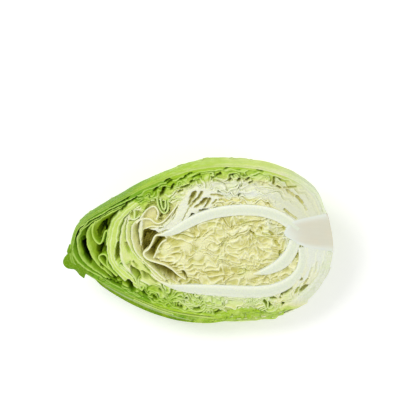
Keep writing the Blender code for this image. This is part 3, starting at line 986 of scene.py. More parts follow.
def cut_group(low, high, rows, table):
    """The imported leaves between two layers, as a body whose top is their cut surface."""
    shares, layers = np.linspace(0, 1, GROUP_COLUMNS), np.linspace(low, high, rows)
    share, layer = np.meshgrid(shares, layers, indexing="ij")
    plan = layer_plan(layer, share)
    height, cut, rib = packed_leaves(plan, share, layer, table)
    green = greenness(layer, share, plan)
    near = smooth((inside(plan, NESTED_PART) + 0.5) / 2.5)
    part = near > 0
    for values, outlined in zip((height, cut, green), nested_leaves(plan[part])):
        values[part] += (outlined - values[part]) * near[part]
    flat = sum(smooth((inside(plan, outline) + 1) / 2.5) for outline in FLAT_PARTS)
    height = height + (-0.5 + 0.35 * ripple(plan / 4, 66) - height) * flat
    gap = open_depth(plan)
    height = height - gap
    height -= 0.2 + 0.3 * smooth((layer - 0.84) / 0.04)
    # Painted shade: the depth look sets it, the nested leaves get more or less of it, and the upper part by
    # the stem gets extra
    shaded = 1 + 0.6 * near - 0.7 * near * smooth((plan[..., 0] + 73) / 8)
    upper_shade = 3.4 * smooth((plan[..., 0] - 35) / 25) * (share < 0.5)
    ring = np.concatenate((
        bowl_wall(plan[:, 0], low, height[:, 0] - 0.3)[:, ::-1],
        at_height(plan, height),
        bowl_wall(plan[:, -1], high, height[:, -1] - 0.3),
    ), axis=1)
    looks = {
        "green": np.pad(green * (1 - 0.85 * flat), WALLS, "edge"),
        "rib": np.pad(np.maximum(rib, 0.65 * flat) * (1 - 0.85 * smooth(gap / 2.5)), WALLS, "edge"),
        "cut": np.pad(cut * (1 - 0.6 * flat) * smooth(1 - gap), WALLS),
        # Painted shade from the depth look, full on the bowl walls
        "depth": np.pad(-height * shaded + upper_shade, WALLS, constant_values=10.0),
    }
    return set_down(ring, INSIDE_FLOOR), tube(*ring.shape[:2]), looks


# Leaves cut along their ribs: points of the middle line, and the half thickness at each
UPPER_RIB = (
    (72, 11.0, 4.2), (68.5, 13.7, 4.4), (63.8, 17.1, 4.5), (57.7, 21.2, 4.5), (50, 24.5, 4.5),
    (42.3, 26.3, 4.4), (34.6, 27.1, 4.4), (26.9, 27.2, 4.4), (19.2, 26.6, 4.4), (11.5, 25.4, 4.3),
    (3.8, 23.5, 4.2), (-3.8, 20.7, 4.1), (-11.5, 16.8, 3.9), (-19.2, 12.0, 3.5), (-25.0, 8.8, 2.8),
    (-31.0, 6.8, 1.7), (-35.5, 6.2, 0.8), (-38.5, 5.2, 0.7), (-41.0, -0.4, 0.7), (-43.6, -5.6, 0.8),
    (-47, -8.4, 0.9), (-47.0, -11.6, 0.8), (-43.5, -15.0, 0.7), (-37, -17.4, 0.65), (-31, -19.6, 0.6),
    (-25.4, -23.4, 0.6), (-20.6, -28.2, 0.55), (-15.0, -32.0, 0.5),
)
LOWER_RIB = (
    (75.0, -4.3, 3.2), (76.0, -12.0, 3.3), (75.2, -20.5, 3.5), (71.9, -28.2, 3.8), (65.4, -35.0, 4.2),
    (57.7, -39.5, 4.6), (48.5, -42.3, 5.0), (37.7, -43.2, 5.1), (25.4, -42.8, 5.0), (11.5, -41.9, 4.8),
    (-2.3, -41.0, 4.3), (-14.6, -40.0, 3.4), (-24.6, -38.4, 1.9), (-34.6, -34.0, 0.8), (-42, -27.4, 0.6),
)
SHORT_RIB = (
    (69.5, 1.0, 4.2), (68.0, -4.0, 4.4), (65.6, -10.0, 4.6), (61.0, -16.6, 4.8), (55.5, -21.0, 4.2),
    (49.5, -24.2, 3.2), (45.0, -25.8, 2.2), (41.0, -26.8, 1.2), (37.5, -27.4, 0.7),
)


# Heart

# Where the heart's leaves turn white by the stem, as the camera sees it
HEART_WHITE = ((264, 219), (275, 226), (286, 236), (289, 248), (287, 258), (279, 266))
# The heart's rounded lobes: the middle as the camera sees it, half length, half width and turn
HEART_LOBES = (
    (167, 250, 6.4, 8.2, -8), (186, 247.4, 5.8, 6.0, 20), (203, 243, 8.4, 4.6, 8), (183, 261, 5.6, 2.6, -38),
    (198, 256.6, 5.2, 4.6, 30), (251, 276, 6.4, 3.8, 8),
)
HEART_COLUMNS, HEART_TOP, HEART_UNDER = 430, 214, 14


def lobe_domes(plan):
    """Height of the heart's lobes, and how near each point is to the rim of its lobe."""
    height, rim = np.full(plan.shape[:-1], -9.0), np.zeros(plan.shape[:-1])
    for x, y, long, wide, turn in HEART_LOBES:
        away = plan - seen([(x, y)])[0]
        c, d = math.cos(math.radians(turn)), math.sin(math.radians(turn))
        along, across = away[..., 0] * c + away[..., 1] * d, away[..., 1] * c - away[..., 0] * d
        reach = np.hypot(along / long, across / wide)
        dome = -0.9 - 0.3 * wide * reach**2.6
        rim = np.where(dome > height, smooth((reach - 0.6) / 0.5), rim)
        height = np.maximum(height, dome)
    return height, rim


def ridges(plan, size, seed, width, slope):
    """Sharp crests along the zero lines of noise: how near to a crest, and how far down from it."""
    away = np.abs(ripple(plan / size, seed))
    return np.exp(-((away / width) ** 2)), smooth(away / slope) ** 0.7


def heart_surface(plan, folded, left, table):
    """Height and cut edges of the heart's crumpled leaves, with a painted highlight on top of each lobe."""
    layered = np.stack((4.0 * layer_at(folded, table) + 40, 0 * left + 0.5), axis=-1)
    near_1, down_1 = ridges(folded * (0.55, 1.0), 4.6, 61, 0.07, 0.42)
    near_2, down_2 = ridges(folded * (0.6, 1.0) + 31, 2.5, 62, 0.10, 0.5)
    near_3, down_3 = ridges(layered, 0.5, 63, 0.12, 0.6)
    fine = 1 - 0.75 * left
    height = -(1.5 + 1.2 * left) * down_1 - 0.9 * fine * down_2 - 0.7 * down_3
    cut = np.maximum(near_1, np.maximum(0.7 * near_2 * fine, 0.5 * near_3))
    dome, rim = lobe_domes(crumple(plan, 6.5, np.full(left.shape, 0.9), 420, 2))
    # Painted highlight: the lobes are paler on top and darker towards their rims
    cut = np.where(dome > height, 0.1 + 0.3 * (1 - rim), cut)
    height = np.maximum(height, dome)
    height -= 0.3 + 0.4 * (0.5 + 0.5 * ripple(plan / 7, 77)) + open_depth(plan)
    return height, cut


def heart_mesh(table):
    """The crumpled small leaves of the heart, as a closed body whose top is their cut surface."""
    side = np.linspace(0.006, 0.494, HEART_COLUMNS)
    above, under = spline(RIB_LOOP, side), spline(RIB_LOOP, 1 - side)
    t = np.linspace(0, 1, HEART_TOP)[None, :, None]
    plan = above[:, None] * (1 - t) + under[:, None] * t
    left = smooth((0 - plan[..., 0]) / 28)
    folded = crumple(plan, 17.0, np.full(left.shape, 3.6), 300, 2)
    folded = crumple(folded, 7.4, 1.9 * (1 - 0.5 * left), 340, 3)
    folded = crumple(folded, 3.8, 0.7 * (1 - 0.6 * left), 380, 2)
    height, cut = heart_surface(plan, folded, left, table)
    width = np.linalg.norm(above - under, axis=-1)
    turn = np.linspace(np.pi, 0, HEART_UNDER + 2)[1:-1]
    arc = (1 - np.cos(turn))[None, :, None] / 2
    lowest = height.min(axis=1, keepdims=True) - 1
    bowl = np.minimum(-0.55 * width[:, None] * np.sin(turn), lowest)
    bottom = at_height(above[:, None] * (1 - arc) + under[:, None] * arc, bowl)
    ring = np.concatenate((at_height(plan, height), bottom), axis=1)
    under_rows = ((0, 0), (0, HEART_UNDER))
    looks = {
        "green": np.pad(0.02 + 0.08 * smooth(-height / 6), under_rows),
        "rib": np.pad(0.7 * np.exp(-((beside(folded, seen(HEART_WHITE)) / 3.6) ** 2)), under_rows),
        "cut": np.pad(cut, under_rows),
        # Painted shade, darker the lower the point lies
        "depth": -2.6 * (ring[..., 2] + 0.7),
    }
    return set_down(ring, INSIDE_FLOOR), tube(*ring.shape[:2]), looks


# Wrapper leaves

def edge_reach(away):
    """How far the cut edge lies from the centre, in the directions of offsets from it."""
    plan = spline(FACE_EDGE, np.linspace(0, 1, 240)) - CENTRE
    bearing = np.arctan2(plan[:, 1], plan[:, 0])
    order = np.argsort(bearing)
    angle = np.arctan2(away[..., 1], away[..., 0])
    return np.interp(angle, bearing[order], np.linalg.norm(plan[order], axis=-1), period=2 * np.pi)


def back_point(plan):
    """The point of the rounded back under a plan point, in the plane of the cut."""
    away = plan - CENTRE
    reach = np.linalg.norm(away, axis=-1) / edge_reach(away)
    return at_height(plan, -HEAD_DEPTH * np.sqrt(1 - np.clip(reach, 0, 1) ** 2))


def swelling(spots):
    """How far a wrapper leaf's blistered surface stands proud."""
    return 0.9 * (bumps(spots, 17.0) * 0.9 + bumps(spots, 6.0, 9.0) * 0.4)


def proud(spots, out):
    """Points of the rounded back moved out of it."""
    away = spots[..., :2] - CENTRE
    length = np.linalg.norm(away, axis=-1)
    reach = np.clip(length / edge_reach(away), 0, 1)
    level = away / np.maximum(length, 1e-6)[..., None] * reach[..., None]
    return spots + at_height(level, -np.sqrt(1 - reach**2)) * out[..., None]


MIDRIB = ((94, 6), (60, -2), (20, -9), (-30, -14), (-70, -15), (-101, -16))
SIDE_VEINS = 9
MIDRIB_STEPS, SIDE_STEPS, FORK_STEPS = 90, 160, 80
FORK_TURN = math.radians(28)


def side_veins(middle, side, number, radius, rng):
    """A side vein of the wrapper leaf and its two forks."""
    start = 0.04 + 0.088 * number + rng.uniform(-0.01, 0.01)
    run = 96 - 6.5 * number + rng.uniform(-6, 6)
    t = np.linspace(0, 1, SIDE_STEPS)[:, None]
    spread = math.radians(52 - 2.5 * number) * side
    turned = spread * (1 - 0.45 * t)
    step = np.hstack((-np.cos(turned), np.sin(turned))) * run / SIDE_STEPS * 1.25
    line = spline(middle, np.array([start]))[0] + np.cumsum(step, axis=0)
    line = line + 1.6 * t * ripples(line / 13 + number, 0, 3)
    veins = [(line, radius * np.linspace(0.95, 0.4, SIDE_STEPS))]
    for fork, way in ((0.35, -1), (0.6, 1)):
        bend = spread * (1 - 0.45 * fork) + side * way * FORK_TURN
        reach = np.linspace(0, run * 0.5, FORK_STEPS)[:, None]
        branch = line[int(fork * (SIDE_STEPS - 1))] + reach * np.array([[-math.cos(bend), math.sin(bend)]])
        branch = branch + 2.0 * (reach / run) * ripples(branch / 9 + number, 0, 13)
        veins.append((branch, radius * np.linspace(0.55, 0.3, FORK_STEPS)))
    return veins


def vein_paths():
    """The outer wrapper's veins on its back: a midrib from the stem to the tip, with side veins from it."""
    s = bpy.context.scene.cabbage
    rng = np.random.default_rng(s.seed + 41)
    radius = s.vein / MM
    middle = spline(MIDRIB, np.linspace(0, 1, MIDRIB_STEPS))
    veins = [(middle, radius * np.linspace(3.0, 0.5, MIDRIB_STEPS))]
    for side in (-1, 1):
        for number in range(SIDE_VEINS):
            veins += side_veins(middle, side, number, radius, rng)
    kept = []
    for line, thick in veins:
        away = line - CENTRE
        within = np.linalg.norm(away, axis=-1) < 0.992 * edge_reach(away)
        stop = len(line) if within.all() else int(np.argmin(within))
        if stop > 4:
            kept.append((line[:stop], thick[:stop]))
    return kept


def vein_tree():
    """Geometry Nodes: sweeps a round section along the edges of a mesh, by its radius attribute."""
    tree = bpy.data.node_groups.new("Swept veins", "GeometryNodeTree")
    tree.interface.new_socket("Geometry", in_out="INPUT", socket_type="NodeSocketGeometry")
    tree.interface.new_socket("Scale", in_out="INPUT", socket_type="NodeSocketFloat").default_value = 1.0
    tree.interface.new_socket("Sides", in_out="INPUT", socket_type="NodeSocketInt").default_value = 8
    tree.interface.new_socket("Material", in_out="INPUT", socket_type="NodeSocketMaterial")
    tree.interface.new_socket("Geometry", in_out="OUTPUT", socket_type="NodeSocketGeometry")
    given = tree.nodes.new("NodeGroupInput").outputs
    curve = node(tree, "GeometryNodeMeshToCurve", {"Mesh": given["Geometry"]}).outputs[0]
    radius = node(tree, "GeometryNodeInputNamedAttribute", {"Name": "radius"}, data_type="FLOAT").outputs[0]
    sized = counted(tree, "MULTIPLY", radius, given["Scale"])
    curve = node(tree, "GeometryNodeSetCurveRadius", {"Curve": curve, "Radius": sized}).outputs[0]
    section = node(tree, "GeometryNodeCurvePrimitiveCircle", {"Resolution": given["Sides"], "Radius": 1.0})
    inputs = {"Curve": curve, "Profile Curve": section.outputs[0], "Fill Caps": True}
    swept = node(tree, "GeometryNodeCurveToMesh", inputs)
    if "Scale" in swept.inputs:
        tree.links.new(sized, swept.inputs["Scale"])
    rounded = node(tree, "GeometryNodeSetShadeSmooth", {"Geometry": swept.outputs[0]}).outputs[0]
    whole = node(tree, "GeometryNodeRealizeInstances", {"Geometry": rounded}).outputs[0]
    dressed = node(tree, "GeometryNodeSetMaterial", {"Geometry": whole, "Material": given["Material"]})
    tree.links.new(dressed.outputs[0], tree.nodes.new("NodeGroupOutput").inputs[0])
    return tree


def grown(name, points, edges, radius, tree, inputs):
    """The plain mesh that a Geometry Nodes tree makes from points and edges with a radius attribute."""
    data = bpy.data.meshes.new(name + "_guide")
    data.from_pydata((points * MM).tolist(), edges, [])
    sizes = data.attributes.new("radius", "FLOAT", "POINT")
    sizes.data.foreach_set("value", np.asarray(radius, np.float32) * MM)
    guide = bpy.data.objects.new(name + "_guide", data)
    bpy.context.scene.collection.objects.link(guide)
    modifier = guide.modifiers.new("grow", "NODES")
    modifier.node_group = tree
    for socket in tree.interface.items_tree:
        if socket.in_out == "INPUT" and socket.name in inputs:
            modifier[socket.identifier] = inputs[socket.name]
    evaluated = guide.evaluated_get(bpy.context.evaluated_depsgraph_get())
    made = bpy.data.objects.new(name, bpy.data.meshes.new_from_object(evaluated))
    made.data.name = name
    bpy.context.scene.collection.objects.link(made)
    bpy.data.objects.remove(guide)
    if not len(made.data.polygons):
        raise RuntimeError(f"{name} came out empty")
    return made


def veins_object(veins):
    """The raised veins on the back of the outer wrapper leaf."""
    crest, edges, first = [], [], 0
    for line, thick in veins:
        spots = back_point(line)
        crest.append(set_down(proud(spots, swelling(spots) + 0.3), 0.5 * thick))
        edges += [(first + i, first + i + 1) for i in range(len(line) - 1)]
        first += len(line)
    radius = np.concatenate([thick for _, thick in veins]) * 0.5
    inputs = {"Sides": 6, "Material": leaf_material("vein", bump=0.2)}
    made = grown("wrapper_veins", np.vstack(crest), edges, radius, vein_tree(), inputs)
    green = made.data.attributes.new("green", "FLOAT", "POINT")
    green.data.foreach_set("value", np.full(len(made.data.vertices), 0.4, np.float32))
    return made


def nearest_vein(points, veins):
    """For each point, how much of a vein it is: 1 on its crest, 0 away from it, and its width."""
    crest = np.vstack([set_down(back_point(line)) for line, _ in veins])
    width = np.concatenate([thick for _, thick in veins])
    tree = kdtree.KDTree(len(crest))
    for i, spot in enumerate(crest):
        tree.insert(spot, i)
    tree.balance()
    found = [tree.find(spot)[1:] for spot in points.reshape(-1, 3)]
    index, gap = (np.array(column).reshape(points.shape[:-1]) for column in zip(*found))
    return np.exp(-((gap / (1.5 * width[index] + 0.3)) ** 2)), width[index]


def down_back(plan, angle):
    """Points at angles down the rounded back, from points of the cut edge."""
    flat = CENTRE + (plan[:, None] - CENTRE) * np.cos(angle)[..., None]
    return at_height(flat, -HEAD_DEPTH * np.sin(angle))


def shell(plan, angle, out, floor=0.0, lower=0.0):
    """The same points moved out of the back, and set down."""
    away = plan[:, None] - CENTRE
    length = np.linalg.norm(away, axis=-1, keepdims=True)
    flat = CENTRE + away * np.cos(angle)[..., None] * (1 + out[..., None] / length)
    return set_down(at_height(flat, -lower - (HEAD_DEPTH + out) * np.sin(angle)), floor)


NOTCH_POINTS = 15
OUTER_COLUMNS, OUTER_ROWS = 330, 96
INNER_COLUMNS, INNER_ROWS = 300, 50


def wrapper_edge(columns):
    """Shares and points round the cut edge and under the stem, and how far down the leaf stays clear."""
    share = np.linspace(0, 1, columns)
    plan = spline(FACE_EDGE, share)
    across = np.cos(np.linspace(0, np.pi, NOTCH_POINTS + 2))[1:-1]
    middle, arm = (plan[0] + plan[-1]) / 2, (plan[0] - plan[-1]) / 2
    notch = np.concatenate((np.zeros(columns), STEM_NOTCH * np.sqrt(1 - across**2)))
    plan = np.vstack((plan, middle - across[:, None] * arm))
    return np.concatenate((share, np.ones(len(across)))), plan, np.arcsin(notch / HEAD_DEPTH)


def wrapper_looks(share, t, vein, tone):
    """Looks of a wrapper leaf: green at the tip, paler by the stem and over the thick ribs, and darker
    towards the tip with painted shade.
    """
    plan = spline(FACE_EDGE, share)[:, None] - CENTRE
    along = CENTRE[0] + plan[..., 0] * np.cos(t * np.pi / 2)
    tip = smooth((60 - along) / 130)
    green = 0.30 + 0.62 * tip + tone + 0.12 * smooth(t / 0.4) + 0.3 * smooth((-40 - along) / 40)
    rib = 0.75 * smooth((along - 45) / 45) * (1 - 0.6 * smooth(t / 0.5))
    # Painted shade towards the tip, kept as the depth look
    shaded = 4.0 * smooth((-18 - along) / 50)
    cut = np.zeros(vein.shape)
    cut[:, 0] = 0.4
    return {
        "green": both_sides(green, green - 0.15),
        "rib": both_sides(rib, rib),
        "cut": both_sides(cut, cut),
        "vein": both_sides(vein, 0 * vein),
        "depth": both_sides(shaded, shaded[:, ::-1]),
    }


def wrapper_mesh(edge, margin, near, thick, floors, rows, tone, veins=()):
    """A wrapper leaf round the back, as a thin closed shell with its looks."""
    share, plan, clear = edge
    start = np.maximum(margin, clear)[:, None]
    t = (np.linspace(0, 1, rows) ** 1.25)[None]
    angle = start + (np.pi / 2 - start) * t
    spots = down_back(plan, angle)
    rim = smooth(t / 0.12)
    free = smooth(start / math.radians(12))
    swell = swelling(spots) * (0.25 + 0.75 * rim) + free * (1 - rim) * (0.8 + 1.6 * bumps(spots, 8.0, 4.0))
    vein = np.zeros(swell.shape)
    if veins:
        vein, width = nearest_vein(set_down(spots), veins)
        swell = swell + vein * np.minimum(width * 0.55, 1.3)
    outer = shell(plan, angle, swell - near[:, None], floors[0])
    inner = shell(plan, angle, swell - near[:, None] - thick[:, None], floors[1])
    ring = both_sides(outer, inner)
    faces = quads(*ring.shape[:2], closed=True).reshape(*ring.shape[:2], 4)
    faces = np.delete(faces, rows - 1, axis=1).reshape(-1, 4)
    return ring, faces, wrapper_looks(share, t, vein, tone)


def outer_thickness(share):
    """The big wrapper leaf is thin, but for its ribs by the stem."""
    return 1.1 + 1.2 * (1 - smooth(from_stem(share) / 0.3))


def outer_margin(share):
    """The big wrapper's edge: in the cut face above, and down on the near side below."""
    low = math.radians(27) * smooth((share - 0.53) / 0.07) * smooth((1.0 - share) / 0.03)
    return low * (1 + 0.1 * np.sin(40 * share) + 0.05 * np.sin(131 * share))


def outer_wrapper(veins):
    """The big wrapper leaf, in the surface of the solids."""
    edge = wrapper_edge(OUTER_COLUMNS)
    share = edge[0]
    margin, thick = outer_margin(share), outer_thickness(share)
    return wrapper_mesh(edge, margin, 0 * share, thick, (0.0, 1.4), OUTER_ROWS, 0.02, veins)


def inner_wrapper():
    """The wrapper leaf inside the big one."""
    edge = wrapper_edge(INNER_COLUMNS)
    share = edge[0]
    near = outer_thickness(share) + 0.15
    return wrapper_mesh(edge, 0 * share + 0.003, near, 0 * share + 1.3, (1.9, 3.3), INNER_ROWS, -0.06)


PATCH_FIRST, PATCH_LAST = 0.655, 0.965
PATCH_REACH = math.radians(20)
PATCH_THICKNESS = 1.1
PATCH_COLUMNS, PATCH_ROWS = 330, 30


def patch_mesh():
    """The smaller wrapper leaf by the stem, with a frilled edge."""
    share = np.linspace(PATCH_FIRST, PATCH_LAST, PATCH_COLUMNS)
    plan = spline(FACE_EDGE, share)
    across = (share - PATCH_FIRST) / (PATCH_LAST - PATCH_FIRST)
    frill = 0.22 * ripple(np.stack((across * 14, across * 0), -1), 8)
    frill = frill + 0.12 * ripple(np.stack((across * 41, across * 0), -1), 9)
    hang = PATCH_REACH * (0.04 + 0.96 * np.sin(np.pi * across) ** 0.9) * (1 + frill)
    across = across[:, None]
    t = np.linspace(0, 1, PATCH_ROWS)[None]
    angle = hang[:, None] * t
    spots = down_back(plan, angle)
    coarse, fine = bumps(spots, 9.0, 9.0), bumps(spots, 4.0, 4.0)
    swell = 0.3 + (0.9 + 0.4 * coarse) * smooth(t / 0.3)
    swell = swell + smooth((t - 0.35) / 0.65) * (0.9 + 1.5 * coarse + 1.6 * fine)
    swell = (swell - 0.3) * smooth(across / 0.12) + 0.3
    sides = [shell(plan, angle, swell - PATCH_THICKNESS * deeper, lower=0.3) for deeper in (0, 1)]
    ring = both_sides(*sides)
    cut = np.zeros(swell.shape)
    cut[:, 0] = 1.0
    looks = {
        "green": 0.55 - 0.5 * smooth((across - 0.35) / 0.35) + 0.25 * fine,
        "rib": smooth((across - 0.45) / 0.3) * 0.7 + 0 * t,
        "cut": cut,
    }
    return ring, tube(*ring.shape[:2]), {key: both_sides(values, values) for key, values in looks.items()}


SHEET_THICKNESS = 0.9


def sheet_plan(inner, outer, columns, rows):
    """A grid of plan points between two lines that the camera sees, and how far across each is."""
    start, end = (spline(seen(line), np.linspace(0, 1, columns))[:, None] for line in (inner, outer))
    t = np.linspace(0, 1, rows) + np.zeros((columns, 1))
    return start * (1 - t[..., None]) + end * t[..., None], t


def sheet(plan, height, looks):
    """A thin closed leaf over a grid of plan points, with a height w for each."""
    top = at_height(plan, height)
    ring = both_sides(top, top - (0, 0, SHEET_THICKNESS))
    looks = {key: both_sides(values, values) for key, values in looks.items()}
    return set_down(ring), tube(*ring.shape[:2]), looks


# The ragged end of the big wrapper leaf, inside and outside, as the camera sees it
TIP_INSIDE = ((73, 244), (72.5, 251), (74, 257), (76.5, 262), (81, 266.5), (86, 270), (92, 273.5))
TIP_OUTSIDE = (
    (69, 245), (66.5, 251), (67, 253.5), (63.5, 258), (62, 263.5), (65.5, 268), (70, 269.6), (73.5, 269.8),
    (78.5, 275.4), (83, 278.6), (82, 274.6), (90, 276.5),
)
TIP_COLUMNS, TIP_ROWS = 60, 9

# The frilled edges of the leaves round the lower right, as the camera sees them
RIM_INSIDE = (
    (95, 275.4), (105, 281.4), (115, 286.4), (126, 291.6), (139, 297.8), (151, 304), (161, 308.6),
    (175, 313.6), (190, 317.6), (205, 318.2), (216, 316.4), (226, 313.4), (236, 309.4), (244, 308),
    (254, 308.5), (262, 311.6), (272, 312.8), (280, 310), (286, 304.6), (292, 301), (300, 295), (309, 287),
    (317, 276), (323, 265), (326.5, 252),
)
RIM_OUTSIDE = (
    (92.6, 278.4), (100, 286), (110, 293.2), (120, 299.4), (130, 305), (140, 309.8), (151, 314.4),
    (162, 318), (174, 320.8), (186, 322.6), (196, 323.6), (206, 324.2), (215, 323.6), (226, 322),
    (236, 322), (247, 320.6), (257, 321.2), (263, 319.6), (270, 320), (277.5, 319.4), (280.5, 316.4),
    (285, 315.4), (286.5, 311.6), (293, 309.8), (300, 308), (306, 305), (309.6, 303), (309.6, 299),
    (315, 295), (320, 289), (325, 281), (329, 272), (332, 262), (333.4, 252),
)
RIM_HEIGHT = 0.55
RIM_COLUMNS, RIM_ROWS = 560, 24


def rim_mesh():
    """The frilled leaf edges round the lower right, with painted shade in the folds and towards the outer
    edge at the left, and a painted highlight stripe.
    """
    outside = spline(RIM_OUTSIDE, np.linspace(0, 1, 120))
    plan, t = sheet_plan(RIM_INSIDE, outside, RIM_COLUMNS, RIM_ROWS)
    u = plan[..., 0]
    bent = np.stack((u / 6.0, 3.0 * t), axis=-1) + 0.5 * ripple(plan / 5.0, 26)[..., None]
    folds = np.abs(ripple(bent, 23) + 0.35 * ripple(plan / 2.4, 24))
    calm = np.maximum(smooth((u - 55) / 14), smooth((-10 - u) / 20))
    wave = (folds - 0.3) * (3.4 - 3.0 * calm) * smooth(t * 5)
    tucked = 2.8 * smooth((-16 - u) / 22) * (1 - 0.5 * t)
    dipped = 1.6 * (1 - smooth(t / 0.2))
    height = RIM_HEIGHT - wave * smooth((1 - t) * 5) - 0.5 * t**2 - np.maximum(tucked, dipped)
    across = np.linspace(0, 1, len(plan))[:, None]
    left = smooth((-4 - u) / 16)
    # A painted highlight along the left part of the rim
    highlight_stripe = np.exp(-(((t - 0.62) / 0.07) ** 2)) * left
    # Painted shade in the folds' valleys, and towards the outer edge at the left
    valley_shade = smooth((folds - 0.42) / 0.5) * (1 - 0.8 * calm)
    valley_shade = np.maximum(valley_shade, 0.75 * left * smooth((t - 0.35) / 0.5))
    return sheet(plan, height, {
        "depth": 11.0 * valley_shade,
        "green": 0.64 - 0.58 * smooth((across - 0.62) / 0.16) + 0.3 * left + 0.2 * ripple(plan / 7, 31),
        "rib": 0.75 * smooth((across - 0.72) / 0.12) + 0.5 * highlight_stripe,
        "cut": 0.35 * smooth(1 - folds * 4) * (1 - calm),
    })


def tip_mesh():
    """The ragged, curled end of the wrapper leaf at the point of the head, darkened with painted shade."""
    plan, t = sheet_plan(TIP_INSIDE, TIP_OUTSIDE, TIP_COLUMNS, TIP_ROWS)
    height = -0.6 - 1.0 * t + 1.6 * ripple(plan / 5.0, 19) * smooth(t * 2) + 1.2 * np.sin(np.pi * t)
    # The tip is darkened all over with painted shade
    return sheet(plan, height, {"green": np.full(t.shape, 1.3), "depth": np.full(t.shape, 6.0)})


# Stem

CUT_FACE_DROP = 0.12
STEM_RINGS, STEM_UNDER, STEM_TOP = 60, 29, 23


def stem_mesh():
    """Half of the tapering stalk, cut flat along its length, and still open at its ends."""
    stations = np.array([(*upper, *lower, depth) for upper, lower, depth in STEM_SECTIONS], float)
    turn = np.linspace(0, np.pi, STEM_UNDER)
    across = np.concatenate((np.cos(turn), np.linspace(-1, 1, STEM_TOP + 2)[1:-1]))
    ring, rib, brown = [], [], []
    for k, row in enumerate(spline(stations, np.linspace(0, 1, STEM_RINGS))):
        upper, lower, depth = row[:2], row[2:4], row[4]
        plan = (upper + lower) / 2 + (1.09 - 0.05 * math.exp(-k / 4)) * across[:, None] * (upper - lower) / 2
        plan[:, 0] += 1.3 * (1 - across**2) * math.exp(-k / 5)
        height = np.full(len(across), -CUT_FACE_DROP)
        height[: len(turn)] -= (depth - CUT_FACE_DROP) * np.sin(turn)
        ring.append(at_height(plan, height))
        side = np.abs(across)
        rib.append(np.minimum(smooth((side - 0.6) / 0.4) * 0.85 + smooth((k - 30) / 28) * 0.9, 1))
        brown.append(0.5 * smooth((side - 0.8) / 0.15) * math.exp(-k / 2.2) + 0.16 * math.exp(-k / 1.5))
    ring = np.stack(ring)
    return set_down(ring), quads(*ring.shape[:2]), {"rib": np.stack(rib), "brown": np.stack(brown)}


# Stage

LENS, SENSOR = 135.0, 36.0
CAMERA_TARGET = (-3.8, 35.9, 0.0)
CAMERA_REACH = 1139.0
CAMERA_TILT = math.radians(23.8)
FLOOR = ((-4, -4, 0), (4, -4, 0), (4, 4, 0), (-4, 4, 0))
FLOOR_GLOW = 0.22
SKY_LIGHT = 0.6


def linked(name, data):
    """A new object of the scene."""
    made = bpy.data.objects.new(name, data)
    bpy.context.scene.collection.objects.link(made)
    return made


def lit_by(name, spot, power, size):
    """An area light that faces the origin."""
    lamp = bpy.data.lights.new(name, "AREA")
    lamp.energy = power
    lamp.size = size
    holder = linked(name, lamp)
    holder.location = spot
    holder.rotation_euler = (-Vector(spot)).to_track_quat("-Z", "Y").to_euler()


def white_floor():
    """The white floor that the half lies on."""
    material, tree, _ = new_material("floor")
    plug(tree, tree.nodes["Principled BSDF"], {
        "Base Color": (0.95, 0.95, 0.95, 1),
        "Emission Color": (1, 1, 1, 1),
        "Emission Strength": FLOOR_GLOW,
        "Roughness": 0.9,
    })
    data = bpy.data.meshes.new("floor")
    data.from_pydata(FLOOR, [], [(0, 1, 2, 3)])
    data.materials.append(material)
    return linked("floor", data)


def photo_camera():
    """The camera, which looks at the cut face from the photo's angle."""
    target = set_down(np.array([CAMERA_TARGET]))[0]
    direction = np.array((0.0, -math.sin(LEAN - CAMERA_TILT), math.cos(LEAN - CAMERA_TILT)))
    camera = bpy.data.cameras.new("camera")
    camera.lens = LENS
    camera.sensor_width = SENSOR
    backward, right = Vector(direction).normalized(), Vector((1, 0, 0))
    turned = Matrix((right, backward.cross(right), backward)).transposed().to_4x4()
    holder = linked("camera", camera)
    holder.matrix_world = Matrix.Translation(Vector((target + CAMERA_REACH * direction) * MM)) @ turned
    return holder


# Operators

class CABBAGE_OT_stem(bpy.types.Operator):
    """Builds the stem"""

    bl_idname = "cabbage.stem"
    bl_label = "Stem"

    def execute(self, context):
        place(piece("stem_half", stem_mesh(), stem_material(), 40, fill=True), "stem_flesh", "stem_core")
        return {"FINISHED"}


class CABBAGE_OT_wrappers(bpy.types.Operator):
    """Builds the wrapper leaves and the veins on the back"""

    bl_idname = "cabbage.wrappers"
    bl_label = "Wrapper leaves"

    def execute(self, context):
        material = leaf_material("wrapper_leaf", net=0.22, bump=0.35, gloss=0.1)
        veins = vein_paths()
        place(piece("outer_wrapper", outer_wrapper(veins), material), "leaf_green", "wrapper_leaf_outer")
        place(piece("inner_wrapper", inner_wrapper(), material), "leaf_green", "wrapper_leaf_inner")
        place(piece("base_wrapper", patch_mesh(), material), "leaf_mid_green", "wrapper_leaf_base")
        place(piece("wrapper_tip", tip_mesh(), material), "leaf_green")
        place(piece("frilled_rim", rim_mesh(), material), "leaf_mid_green")
        place(veins_object(veins), "leaf_green")
        return {"FINISHED"}


class CABBAGE_OT_folds(bpy.types.Operator):
    """Builds the folded leaves between the wrappers and the ribs"""

    bl_idname = "cabbage.folds"
    bl_label = "Folded leaves"

    def execute(self, context):
        material = leaf_material("cut_leaf")
        table = layer_table()
        for name, node_name, slot, low, high, rows in (
            ("outer", "outer_leaves", "leaf_mid_green", -0.07, 0.285, 50),
            ("middle", "middle_leaves", "leaf_pale", 0.285, 0.6, 50),
            ("inner", "inner_leaves", "leaf_cream", 0.6, 0.97, 54),
        ):
            paths = [fold_path(*fold, number) for number, fold in enumerate(WIDE_FOLDS[name])]
            body = joined(blades(paths, len(name), BLADE_ROWS), cut_group(low, high, rows, table))
            place(piece(name + "_leaf_folds", body, material), slot, node_name)
        return {"FINISHED"}


